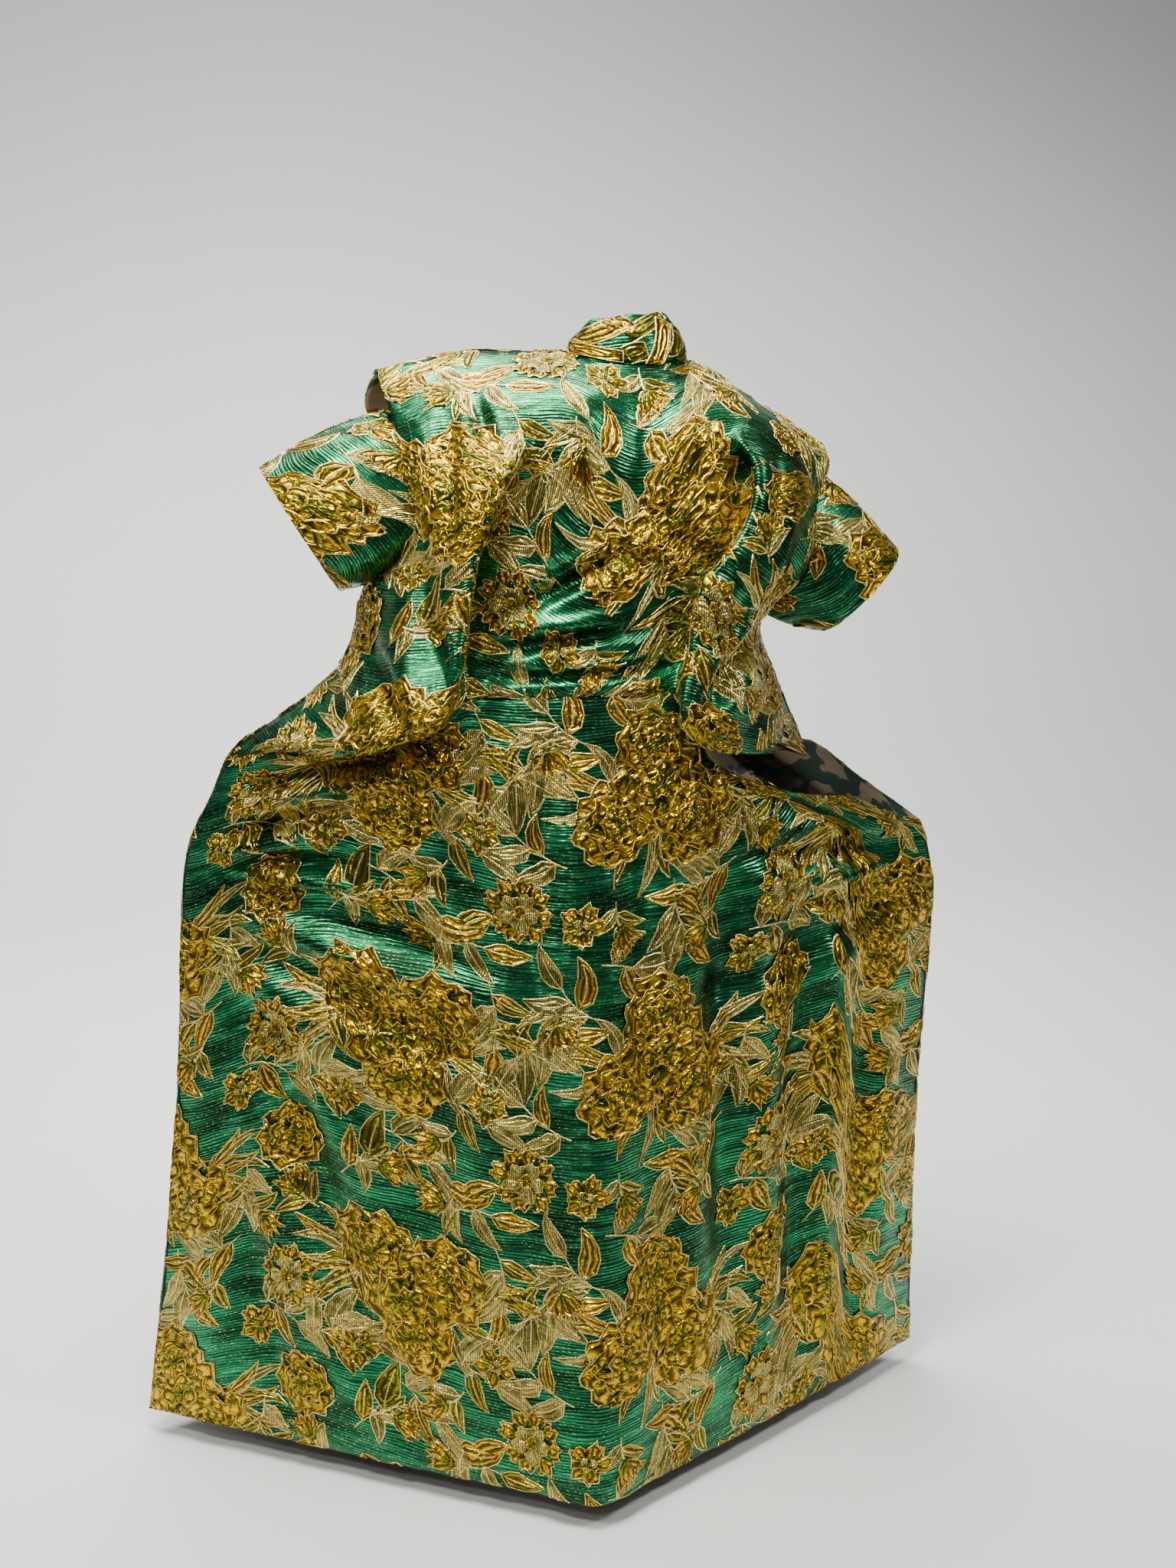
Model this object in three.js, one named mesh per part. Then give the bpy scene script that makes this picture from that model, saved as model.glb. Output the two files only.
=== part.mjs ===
// A full-length brocade gown, worn, hollow and held out at both side seams. Millimetres, +Z up.
// The front faces -Y and the wearer's left is +X. The origin is the centre of the neck opening,
// level with the nape, where the gown hangs from the shoulders.
import * as THREE from "three";

// Driving dimensions
const WALL = 1.8;
const SEAM = 0.3;
const HEM_Z = -1400;
// The neck opening: its centre, its half width, how far it reaches behind and in front, how far
// its middle sits below the shoulder seam there, and how much its left side rises over its right
const NECK = { x: -8, halfWidth: 74, back: 60, front: 64, top: 9, nape: 10, scoop: 42, tilt: 5 };
// Where the shoulder seams end, as an angle round the neck opening from the nape
const NECK_SIDE = 84;
const FABRIC = { face: 0x2a7a52, sleeve: 0xb08a24, skirt: 0x1f6846, collar: 0xc8950f };

// The back's left drape, a row for each section from the shoulder down to the seam under its roll.
// edge is the armhole edge and then the side seam, crest the standing fold, valley its foot. Each
// point is x, y, z.
const LEFT_DRAPE = {
  shoulder: { edge: [306, 0, -8], mid: [209, -4, 13], crest: [150, -2, 15], valley: [110, 0, 15] },
  flange: { edge: [296, 32, -43], mid: [236, 56, -42], crest: [160, 82, -42], valley: [130, 87, -42] },
  apex: { edge: [283, 60, -90], mid: [234, 94, -92], crest: [147, 121, -92], valley: [126, 112, -97] },
  blade: { edge: [275, 72, -138], mid: [240, 118, -136], crest: [169, 152, -130], valley: [160, 103, -140] },
  armpit: { edge: [267, 80, -188], mid: [242, 128, -180], crest: [189, 165, -174], valley: [186, 98, -182] },
  arm: { edge: [288, 52, -236], mid: [258, 124, -232], crest: [207, 170, -228], valley: [207, 95, -233] },
  underarm: { edge: [326, 12, -268], mid: [281, 112, -280], crest: [217, 171, -280], valley: [221, 94, -284] },
  rib: { edge: [340, 9, -325], mid: [297, 112, -328], crest: [226, 174, -325], valley: [223, 97, -324] },
  "low rib": { edge: [362, 4, -370], mid: [312, 120, -370], crest: [237, 181, -362], valley: [219, 101, -354] },
  blouse: { edge: [402, -2, -408], mid: [330, 134, -412], crest: [251, 188, -397], valley: [211, 105, -376] },
  roll: { edge: [480, -15, -464], mid: [372, 128, -457], crest: [268, 180, -421], valley: [203, 108, -388] },
  waist: { edge: [506, -20, -492], mid: [366, 86, -440], crest: [264, 132, -411], valley: [196, 111, -397] },
};

// The right drape hangs lower at the shoulder, swings in towards the spine and blouses deeper.
const RIGHT_DRAPE = {
  shoulder: { edge: [-262, 2, -102], mid: [-190, -4, -57], crest: [-150, -3, -31], valley: [-116, -2, -9] },
  flange: { edge: [-266, 15, -122], mid: [-206, 50, -86], crest: [-146, 80, -62], valley: [-126, 87, -56] },
  apex: { edge: [-250, 40, -152], mid: [-198, 92, -118], crest: [-123, 118, -88], valley: [-110, 110, -93] },
  blade: { edge: [-234, 60, -188], mid: [-196, 112, -152], crest: [-138, 136, -118], valley: [-142, 101, -128] },
  armpit: { edge: [-234, 60, -230], mid: [-194, 122, -190], crest: [-136, 146, -158], valley: [-152, 98, -166] },
  arm: { edge: [-222, 56, -268], mid: [-176, 132, -232], crest: [-116, 155, -204], valley: [-140, 96, -212] },
  underarm: { edge: [-180, 24, -312], mid: [-134, 142, -286], crest: [-72, 168, -256], valley: [-106, 95, -262] },
  rib: { edge: [-178, 12, -345], mid: [-116, 147, -328], crest: [-57, 173, -302], valley: [-82, 96, -306] },
  "low rib": { edge: [-196, 10, -385], mid: [-118, 150, -372], crest: [-53, 177, -348], valley: [-67, 100, -346] },
  blouse: { edge: [-216, 10, -428], mid: [-130, 150, -420], crest: [-42, 189, -396], valley: [-55, 106, -372] },
  roll: { edge: [-236, 12, -474], mid: [-158, 118, -477], crest: [-52, 180, -438], valley: [-48, 110, -386] },
  waist: { edge: [-244, 16, -504], mid: [-158, 86, -462], crest: [-66, 138, -436], valley: [-42, 112, -397] },
};

// The line down the middle of the back and the front, and how far the front stands out at its sides.
const MIDDLE = [
  { back: [-8, 60, -1], front: [-8, -64, -38], side: 0 },
  { back: [-8, 84, -44], front: [-6, -86, -72], side: 0.3 },
  { back: [-4, 102, -94], front: [-2, -102, -112], side: 0.5 },
  { back: [4, 112, -140], front: [6, -116, -152], side: 0.6 },
  { back: [14, 117, -186], front: [16, -124, -194], side: 0.7 },
  { back: [26, 121, -232], front: [28, -126, -238], side: 0.75 },
  { back: [38, 124, -276], front: [40, -122, -282], side: 0.8 },
  { back: [50, 126, -315], front: [50, -117, -322], side: 0.8 },
  { back: [60, 128, -348], front: [60, -114, -356], side: 0.8 },
  { back: [68, 130, -370], front: [68, -114, -382], side: 0.8 },
  { back: [74, 131, -384], front: [74, -117, -404], side: 0.8 },
  { back: [78, 131, -395], front: [78, -112, -420], side: 0.8 },
];

// The armhole edge of the front, from the shoulder to the underarm.
const LEFT_FRONT_EDGE = [
  [306, 0, -8], [318, -30, -50], [296, -58, -96], [282, -70, -142], [278, -74, -190], [300, -42, -242],
];
const RIGHT_FRONT_EDGE = [
  [-262, 2, -102], [-266, -18, -124], [-254, -42, -156],
  [-240, -58, -192], [-238, -58, -232], [-226, -46, -272],
];

// The skirt, a row for each section below its top edge. back and front are the plan's far points,
// round is 0 where the cloth runs straight to the side seam and 1 where it rounds over the hips.
const SKIRT = {
  hip: {
    left: [524, -21, -530], right: [-428, -24, -625],
    back: [70, 150, -500], front: [70, -140, -520], round: 0.85,
  },
  hand: {
    left: [560, -25, -612], right: [-441, -20, -690],
    back: [68, 164, -600], front: [66, -158, -610], round: 0.68,
  },
  thigh: {
    left: [574, -30, -770], right: [-443, -30, -810],
    back: [69, 188, -775], front: [64, -176, -780], round: 0.44,
  },
  knee: {
    left: [592, -38, -990], right: [-439, -40, -1000],
    back: [72, 222, -995], front: [62, -192, -995], round: 0.25,
  },
  calf: {
    left: [618, -44, -1200], right: [-440, -46, -1200],
    back: [75, 252, -1200], front: [60, -204, -1200], round: 0.16,
  },
  hem: {
    left: [645, -50, HEM_Z], right: [-446, -50, HEM_Z],
    back: [77, 282, HEM_Z], front: [60, -214, HEM_Z], round: 0.12,
  },
};
// The hidden front hangs fuller than the back: its plan stays round down to the hem.
const LEAST_ROUND = { back: 0, front: 0.8 };
// Where the skirt's back and front run free on the right, from the drape to the held point.
const RIGHT_HAND = [-421, -30, -607];
const BACK_CREST = [[-92, 132, -482], [-205, 90, -534], [-300, 44, -556], [-385, -6, -596]];
const FRONT_CREST = [[-268, -38, -494], [-331, -40, -542], [-385, -36, -580]];

// Soft folds pressed into the walls, seen from behind: a line from one x, z to another, how deep
// the trough is (a ridge where it is negative) and how wide.
const BODICE_FOLDS = [
  { from: [150, -290], to: [20, -226], depth: 12, width: 13 },
  { from: [190, -338], to: [0, -316], depth: 10, width: 12 },
  { from: [150, -318], to: [40, -300], depth: -7, width: 12 },
  { from: [186, -372], to: [-30, -366], depth: 7, width: 8 },
  { from: [-20, -180], to: [-90, -240], depth: 5, width: 16 },
];
const DRAPE_FOLDS = [
  { from: [262, -205], to: [262, -380], depth: 10, width: 16 },
  { from: [330, -330], to: [300, -430], depth: 9, width: 18 },
  { from: [-150, -322], to: [-75, -398], depth: 24, width: 17 },
  { from: [-215, -180], to: [-190, -270], depth: 6, width: 20 },
];
const SKIRT_FOLDS = [
  { from: [540, -596], to: [350, -520], depth: 13, width: 17 },
  { from: [545, -620], to: [360, -612], depth: 15, width: 18 },
  { from: [540, -640], to: [200, -700], depth: 12, width: 26 },
  { from: [530, -700], to: [150, -850], depth: 9, width: 34 },
  { from: [470, -860], to: [370, -1130], depth: 14, width: 40 },
  { from: [370, -1130], to: [290, -1330], depth: 9, width: 36 },
  { from: [560, -900], to: [560, -1380], depth: -8, width: 34 },
  { from: [-400, -640], to: [-150, -610], depth: 12, width: 20 },
  { from: [-400, -680], to: [-60, -780], depth: 9, width: 30 },
  { from: [-110, -560], to: [-120, -1250], depth: 10, width: 34 },
  { from: [-230, -640], to: [-225, -1380], depth: 11, width: 32 },
  { from: [-340, -700], to: [-330, -1380], depth: 10, width: 30 },
  { from: [180, -640], to: [215, -1300], depth: -7, width: 44 },
];
const FRONT_SKIRT_FOLDS = [
  { from: [540, -640], to: [250, -760], depth: 13, width: 30 },
  { from: [-410, -690], to: [-120, -800], depth: 12, width: 30 },
  { from: [300, -600], to: [360, -1390], depth: 13, width: 34 },
  { from: [160, -560], to: [180, -1390], depth: 12, width: 32 },
  { from: [10, -560], to: [-10, -1390], depth: 13, width: 34 },
  { from: [-130, -620], to: [-190, -1390], depth: 12, width: 34 },
  { from: [-290, -700], to: [-330, -1390], depth: 10, width: 30 },
];
const FRONT_FOLDS = [
  { from: [200, -300], to: [250, -440], depth: 9, width: 22 },
  { from: [-60, -300], to: [-110, -440], depth: 9, width: 22 },
  { from: [120, -80], to: [170, -300], depth: 7, width: 26 },
  { from: [-110, -110], to: [-90, -310], depth: 7, width: 26 },
];

// Steps between neighbouring table columns and rows
const STEPS_ACROSS = [3, 5, 5, 3, 3, 3, 3, 3, 3, 5, 5, 3];
const STEPS_DOWN = [2, 2, 2, 2, 2, 2, 2, 2, 2, 2, 3];
const UNDERARM_ROW = STEPS_DOWN.slice(0, 6).reduce((sum, n) => sum + n, 0);
const SKIRT_STEPS_DOWN = [3, 2, 3, 3, 3, 3];

// Points and curves
const point = ([x, y, z]) => new THREE.Vector3(x, y, z);
const lerp = (a, b, t) => a + (b - a) * t;
const smooth = (t) => t * t * (3 - 2 * t);

// Samples a smooth curve through the points, with steps[i] samples between point i and the next.
function along(points, steps) {
  const curve = new THREE.CatmullRomCurve3(points, false, "centripetal");
  const samples = [];
  steps.forEach((count, span) => {
    for (let k = 0; k < count; k += 1) {
      samples.push(curve.getPoint((span + k / count) / steps.length));
    }
  });
  samples.push(points[points.length - 1].clone());
  return samples;
}

// Lofts a grid through rows of points: across each row first, then down each column.
function loft(rows, across, down) {
  const sections = rows.map((row) => along(row, across));
  const columns = sections[0].map((_, j) => along(sections.map((section) => section[j]), down));
  return columns[0].map((_, i) => columns.map((column) => column[i]));
}

// The outward normal at each point of a grid. side is 1 or -1; closed grids wrap round their columns.
function normals(grid, side, closed) {
  const rows = grid.length;
  const cols = grid[0].length;
  return grid.map((row, i) =>
    row.map((_, j) => {
      const left = closed ? row[(j + cols - 1) % cols] : row[Math.max(j - 1, 0)];
      const right = closed ? row[(j + 1) % cols] : row[Math.min(j + 1, cols - 1)];
      const up = grid[Math.max(i - 1, 0)][j];
      const down = grid[Math.min(i + 1, rows - 1)][j];
      const u = right.clone().sub(left);
      const v = down.clone().sub(up);
      return v.cross(u).normalize().multiplyScalar(side);
    }),
  );
}

// How deep the folds press at x, z
function foldDepth(folds, x, z) {
  let sum = 0;
  for (const { from, to, depth, width } of folds) {
    const dx = to[0] - from[0];
    const dz = to[1] - from[1];
    const length2 = dx * dx + dz * dz;
    const t = ((x - from[0]) * dx + (z - from[1]) * dz) / length2;
    const clear = THREE.MathUtils.clamp(t, 0, 1);
    const away = Math.hypot(x - from[0] - clear * dx, z - from[1] - clear * dz);
    const taper = Math.sin(Math.PI * THREE.MathUtils.clamp(0.12 + 0.76 * clear, 0, 1));
    sum += depth * taper * Math.exp(-((away / width) ** 2));
  }
  return sum;
}

// Presses folds into a grid along its normals, fading out towards its edges.
function press(grid, side, folds, fade = 2) {
  const out = normals(grid, side, false);
  const rows = grid.length - 1;
  const cols = grid[0].length - 1;
  return grid.map((row, i) =>
    row.map((p, j) => {
      const edge = Math.min(i, rows - i, j, cols - j);
      const keep = smooth(Math.min(edge / fade, 1));
      return p.clone().addScaledVector(out[i][j], -keep * foldDepth(folds, p.x, p.z));
    }),
  );
}

// A panel of cloth: its outer grid, its normals, and the seams that join() adds.
function panel(grid, side, closed = false) {
  return { grid, side, closed, out: normals(grid, side, closed), seams: new Map() };
}
const key = (i, j) => i * 1000 + j;

// The points of one row or one column, each with its neighbour inside the panel.
function rowEdge({ grid }, i, from, to) {
  const inner = i === 0 ? 1 : i - 1;
  const count = Math.abs(to - from) + 1;
  return Array.from({ length: count }, (_, k) => {
    const j = (from + k * Math.sign(to - from) + grid[0].length) % grid[0].length;
    return { i, j, p: grid[i][j], inside: grid[inner][j] };
  });
}
function columnEdge({ grid }, j, from, to) {
  const inner = j === 0 ? 1 : j - 1;
  return Array.from({ length: to - from + 1 }, (_, k) => ({
    i: from + k,
    j,
    p: grid[from + k][j],
    inside: grid[from + k][inner],
  }));
}

// Sews two edges. Both get the direction across the seam that halves the angle between the panels,
// and the way in along the plane between them, as long as keeps each wall at its thickness.
const LEAST_MITRE = 0.3;
function join(a, edgeA, b, edgeB) {
  edgeA.forEach((end, k) => {
    const other = edgeB[k];
    const outA = a.out[end.i][end.j];
    const outB = b.out[other.i][other.j];
    const leaving = end.p.clone().sub(end.inside).normalize();
    const entering = other.inside.clone().sub(other.p).normalize();
    const across = leaving.add(entering).normalize();
    const mitre = outA.clone().add(outB);
    mitre.addScaledVector(across, -mitre.dot(across)).normalize();
    mitre.divideScalar(Math.max((mitre.dot(outA) + mitre.dot(outB)) / 2, LEAST_MITRE));
    sew(a, end, across, mitre);
    sew(b, other, across.clone().negate(), mitre.clone());
  });
}
function sew(piece, { i, j }, across, mitre) {
  const found = piece.seams.get(key(i, j)) ?? [];
  const like = found.find((seam) => seam.across.dot(across) > 0.6);
  if (like) {
    like.across.add(across).normalize();
    like.mitre.add(mitre).multiplyScalar(0.5);
  } else found.push({ across, mitre });
  piece.seams.set(key(i, j), found);
}

// How far a wall's inner point lies from its outer one, at a point in the middle, a seam or a corner
function wayIn({ out, seams }, i, j) {
  const sewn = seams.get(key(i, j)) ?? [];
  if (sewn.length === 0) return out[i][j].clone().multiplyScalar(-WALL);
  if (sewn.length === 1) return sewn[0].mitre.clone().negate();
  const line = sewn[0].across.clone().cross(sewn[1].across).normalize();
  if (line.dot(out[i][j]) > 0) line.negate();
  return line.multiplyScalar(WALL / Math.max(-line.dot(out[i][j]), LEAST_MITRE));
}

// A closed wall on a panel: the outer points, the same points moved in, and rims between.
function wall(piece) {
  const { grid, side, closed, seams } = piece;
  const rows = grid.length;
  const cols = grid[0].length;
  const outer = [];
  const inner = [];
  grid.forEach((row, i) =>
    row.forEach((p, j) => {
      const face = p.clone();
      (seams.get(key(i, j)) ?? []).forEach(({ across }) => face.addScaledVector(across, -SEAM / 2));
      outer.push(face);
      inner.push(face.clone().add(wayIn(piece, i, j)));
    }),
  );
  const at = (i, j) => i * cols + (closed ? j % cols : j);
  const inside = rows * cols;
  const faces = [];
  const quad = (a, b, c, d) => {
    if (side > 0) faces.push(a, c, b, a, d, c);
    else faces.push(a, b, c, a, c, d);
  };
  const spans = closed ? cols : cols - 1;
  for (let i = 0; i < rows - 1; i += 1) {
    for (let j = 0; j < spans; j += 1) {
      const corners = [at(i, j), at(i, j + 1), at(i + 1, j + 1), at(i + 1, j)];
      quad(...corners);
      quad(...corners.map((k) => k + inside).reverse());
    }
  }
  const rim = (a, b) => quad(b, a, a + inside, b + inside);
  for (let j = 0; j < spans; j += 1) {
    rim(at(0, j), at(0, j + 1));
    rim(at(rows - 1, j + 1), at(rows - 1, j));
  }
  if (!closed) {
    for (let i = 0; i < rows - 1; i += 1) {
      rim(at(i + 1, 0), at(i, 0));
      rim(at(i, cols - 1), at(i + 1, cols - 1));
    }
  }
  const geometry = new THREE.BufferGeometry();
  const positions = [...outer, ...inner].flatMap((p) => [p.x, p.y, p.z]);
  geometry.setAttribute("position", new THREE.Float32BufferAttribute(positions, 3));
  geometry.setIndex(faces);
  geometry.computeVertexNormals();
  return geometry;
}

function cloth(name, geometry, color) {
  const material = new THREE.MeshStandardMaterial({ color, roughness: 0.55, metalness: 0.1 });
  const mesh = new THREE.Mesh(geometry, material);
  mesh.name = name;
  return mesh;
}

// The neck opening at an angle from the nape, positive towards the wearer's left
function neckline(angle) {
  const turn = THREE.MathUtils.degToRad(angle);
  const behind = Math.cos(turn) > 0;
  const depth = behind ? NECK.back : NECK.front;
  const dip = (behind ? NECK.nape : NECK.scoop) * Math.cos(turn) ** 2;
  return new THREE.Vector3(
    NECK.x + NECK.halfWidth * Math.sin(turn),
    depth * Math.cos(turn),
    NECK.top + NECK.tilt * Math.sin(turn) - dip,
  );
}

// The columns between the valleys: two on the left, the middle, two on the right, bulged a little
const BODICE_BULGE = 6;
const NEAR_VALLEY = 0.38;
const NEAR_MIDDLE = 0.7;
function between(left, middle, right) {
  const part = (edge, share) => {
    const p = point(edge).lerp(middle, share);
    p.y += BODICE_BULGE * Math.sin(Math.PI * share);
    return p;
  };
  return [
    part(left, NEAR_VALLEY),
    part(left, NEAR_MIDDLE),
    middle,
    part(right, NEAR_MIDDLE),
    part(right, NEAR_VALLEY),
  ];
}

// Upper back: the bodice, both standing folds and both drapes in one cloth
const leftDrape = Object.values(LEFT_DRAPE);
const rightDrape = Object.values(RIGHT_DRAPE);
const NECK_BEHIND = [NECK_SIDE, NECK_SIDE / 2, 0, -NECK_SIDE / 2, -NECK_SIDE].map(neckline);
const backRows = leftDrape.map((left, i) => {
  const right = rightDrape[i];
  const inner = i === 0 ? NECK_BEHIND : between(left.valley, point(MIDDLE[i].back), right.valley);
  return [
    ...[left.edge, left.mid, left.crest, left.valley].map(point),
    ...inner,
    ...[right.valley, right.crest, right.mid, right.edge].map(point),
  ];
});
const backGrid = press(loft(backRows, STEPS_ACROSS, STEPS_DOWN), 1, [...BODICE_FOLDS, ...DRAPE_FOLDS]);
const LAST_ROW = backGrid.length - 1;
const LAST_COL = backGrid[0].length - 1;
const NECK_COL = STEPS_ACROSS.slice(0, 4).reduce((sum, n) => sum + n, 0);
const NECK_STEPS = LAST_COL - 2 * NECK_COL;
for (let k = 0; k <= NECK_STEPS; k += 1) {
  backGrid[0][NECK_COL + k] = neckline(lerp(NECK_SIDE, -NECK_SIDE, k / NECK_STEPS));
}

// Upper front: from the shoulder seams and the neck down to the waist, loose at its sides
const FRONT_SHARES = [0.2, 0.38, 0.52, 0.66, 0.84];
const NECK_BEFORE = [NECK_SIDE, 135, 180, 225, 360 - NECK_SIDE].map(neckline);
const frontRows = MIDDLE.map(({ front, side }, i) => {
  const leftEdge = LEFT_FRONT_EDGE[i] ?? leftDrape[i].edge;
  const rightEdge = RIGHT_FRONT_EDGE[i] ?? rightDrape[i].edge;
  if (i === 0) return [...backRows[0].slice(0, 4), ...NECK_BEFORE, ...backRows[0].slice(-4)];
  const half = (edge) =>
    FRONT_SHARES.map((share) => {
      const p = point(edge).lerp(point(front), share);
      const round = lerp(share, Math.sin((Math.PI / 2) * share), side);
      p.y = lerp(edge[1], front[1], round);
      return p;
    });
  return [point(leftEdge), ...half(leftEdge), point(front), ...half(rightEdge).reverse(), point(rightEdge)];
});
const frontGrid = press(loft(frontRows, STEPS_ACROSS, STEPS_DOWN), -1, FRONT_FOLDS);
for (let k = 0; k <= NECK_STEPS; k += 1) {
  frontGrid[0][NECK_COL + k] = neckline(lerp(NECK_SIDE, 360 - NECK_SIDE, k / NECK_STEPS));
}
for (let j = 0; j <= NECK_COL; j += 1) {
  frontGrid[0][j] = backGrid[0][j].clone();
  frontGrid[0][LAST_COL - j] = backGrid[0][LAST_COL - j].clone();
}
for (let i = UNDERARM_ROW; i <= LAST_ROW; i += 1) {
  frontGrid[i][0] = backGrid[i][0].clone();
  frontGrid[i][LAST_COL] = backGrid[i][LAST_COL].clone();
}

// Skirt: its back hangs from the upper back's last row, its front from the upper front's
const SHARES = [0, 0.2, 0.38, 0.54, 0.7, 0.85, 1];
function skirtRow({ left, right, ...section }, name) {
  const round = Math.max(section.round, LEAST_ROUND[name]);
  const far = section[name];
  const half = (edge) =>
    SHARES.map((share) => {
      const p = point(edge).lerp(point(far), share);
      p.y = lerp(edge[1], far[1], lerp(share, Math.sin((Math.PI / 2) * share), round));
      p.z = lerp(edge[2], far[2], smooth(share));
      return p;
    });
  return [...half(left), ...half(right).reverse().slice(1)];
}

// Lofts one half of the skirt under a sampled top edge.
function skirtGrid(top, name, folds, side) {
  const sections = Object.values(SKIRT).map((row) => along(skirtRow(row, name), STEPS_ACROSS));
  const columns = top.map((p, j) => along([p, ...sections.map((section) => section[j])], SKIRT_STEPS_DOWN));
  const grid = columns[0].map((_, i) => columns.map((column) => column[i]));
  return press(grid, side, folds);
}

// The sampled top edge: the panel's last row up to a column, then the free crest to the held point
const PARTING = new THREE.Vector3(0, -0.8, -1.4);
const PARTING_STEPS = 2;
function skirtTop(lastRow, column, crest) {
  const steps = lastRow.length - 1 - column;
  const route = [lastRow[column], ...crest.map(point), point(RIGHT_HAND)];
  const curve = new THREE.CatmullRomCurve3(route, false, "centripetal");
  const free = Array.from({ length: steps }, (_, k) => curve.getPoint((k + 1) / steps));
  const sewn = lastRow.slice(0, column + 1).map((p, j) => {
    const past = Math.max(0, j - column + PARTING_STEPS);
    return p.clone().addScaledVector(PARTING, past);
  });
  return [...sewn, ...free];
}

const [EDGE_STEPS, MID_STEPS] = STEPS_ACROSS;
const RIGHT_CREST_COL = LAST_COL - EDGE_STEPS - MID_STEPS;
const backTop = skirtTop(backGrid[LAST_ROW], RIGHT_CREST_COL, BACK_CREST);
const FRONT_FREE_COL = LAST_COL - EDGE_STEPS;
const frontTop = skirtTop(frontGrid[LAST_ROW], FRONT_FREE_COL, FRONT_CREST);
const skirtBack = skirtGrid(backTop, "back", SKIRT_FOLDS, 1);
const skirtFront = skirtGrid(frontTop, "front", FRONT_SKIRT_FOLDS, -1);
skirtFront.forEach((row, i) => {
  row[0] = skirtBack[i][0].clone();
  row[LAST_COL] = skirtBack[i][LAST_COL].clone();
});

// Sleeves: from the armhole, tucked under the flange at the top, to an open cuff. Where the way
// from armhole to cuff is shorter than FULL_BELLY_LENGTH, the tube bellies out less. top is how
// far the armhole's top is moved to lie SUNK_ROWS deep under the flange.
const SLEEVE_STEPS = 7;
const FULL_BELLY_LENGTH = 110;
const SUNK_ROWS = 4;
const LEFT_SLEEVE = {
  sign: 1,
  top: [-16, 0, -46],
  cuffTop: [449, 0, -126],
  cuffLow: [357, 8, -275],
  cuffDepth: 62,
  belly: 10,
};
const RIGHT_SLEEVE = {
  sign: -1,
  top: [16, 0, -40],
  cuffTop: [-361, 0, -235],
  cuffLow: [-262, 12, -338],
  cuffDepth: 60,
  belly: 8,
};

const SUNK_NARROWING = 0.25;
// The armhole's loop: down the back panel's edge, up the front panel's, sunk under the flange
function armhole({ sign, top }) {
  const column = sign > 0 ? 0 : LAST_COL;
  const loop = [];
  for (let i = 0; i <= UNDERARM_ROW; i += 1) loop.push(backGrid[i][column].clone());
  for (let i = UNDERARM_ROW - 1; i > 0; i -= 1) loop.push(frontGrid[i][column].clone());
  return loop.map((p, k) => {
    const rows = Math.min(k, loop.length - k);
    const sunk = smooth(Math.max(0, 1 - rows / SUNK_ROWS));
    const inward = smooth(Math.max(0, 1 - rows / (SUNK_ROWS - 1)));
    p.z += top[2] * sunk;
    p.x += top[0] * inward;
    p.y *= 1 - SUNK_NARROWING * sunk;
    return p;
  });
}

function sleeve(spec) {
  const start = armhole(spec);
  const cuffTop = point(spec.cuffTop);
  const cuffLow = point(spec.cuffLow);
  const centre = cuffTop.clone().lerp(cuffLow, 0.5);
  const tall = cuffTop.clone().sub(cuffLow).multiplyScalar(0.5);
  const deep = new THREE.Vector3(0, spec.cuffDepth, 0);
  const middle = start.reduce((sum, p) => sum.add(p), new THREE.Vector3()).divideScalar(start.length);
  const cuff = start.map((p, k) => {
    const turn = (2 * Math.PI * k) / start.length;
    return centre.clone().addScaledVector(tall, Math.cos(turn)).addScaledVector(deep, Math.sin(turn));
  });
  const grid = [];
  for (let i = 0; i <= SLEEVE_STEPS; i += 1) {
    const t = i / SLEEVE_STEPS;
    grid.push(
      start.map((p, k) => {
        const q = p.clone().lerp(cuff[k], t);
        const away = q.clone().sub(middle.clone().lerp(centre, t)).normalize();
        const slack = Math.min(1, p.distanceTo(cuff[k]) / FULL_BELLY_LENGTH);
        return q.addScaledVector(away, spec.belly * slack * slack * Math.sin(Math.PI * t));
      }),
    );
  }
  return panel(grid, spec.sign, true);
}

// Collar: a stand that leans in as it rises, highest behind the right ear, low at the front left
const COLLAR = [
  { angle: -180, height: 16, lean: 3 },
  { angle: -135, height: 26, lean: 8 },
  { angle: -90, height: 50, lean: 24 },
  { angle: -45, height: 61, lean: 26 },
  { angle: 0, height: 60, lean: 16 },
  { angle: 45, height: 46, lean: 10 },
  { angle: 90, height: 20, lean: 8 },
  { angle: 135, height: 14, lean: 4 },
  { angle: 180, height: 16, lean: 3 },
];
const COLLAR_ROWS = 5;
const COLLAR_FLARE = 5;

function collarAt(turn) {
  const angle = turn < -180 ? turn + 360 : turn;
  const next = COLLAR.findIndex((row) => row.angle >= angle);
  const b = COLLAR[Math.max(next, 1)];
  const a = COLLAR[Math.max(next, 1) - 1];
  const t = smooth((angle - a.angle) / (b.angle - a.angle));
  return { height: lerp(a.height, b.height, t), lean: lerp(a.lean, b.lean, t) };
}

function collarPoint(angle, t) {
  const { height, lean } = collarAt(angle);
  const p = neckline(angle);
  const away = new THREE.Vector3(p.x - NECK.x, p.y, 0).normalize();
  p.z += height * t;
  return p.addScaledVector(away, COLLAR_FLARE * Math.sin(Math.PI * t) - lean * t);
}

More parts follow.
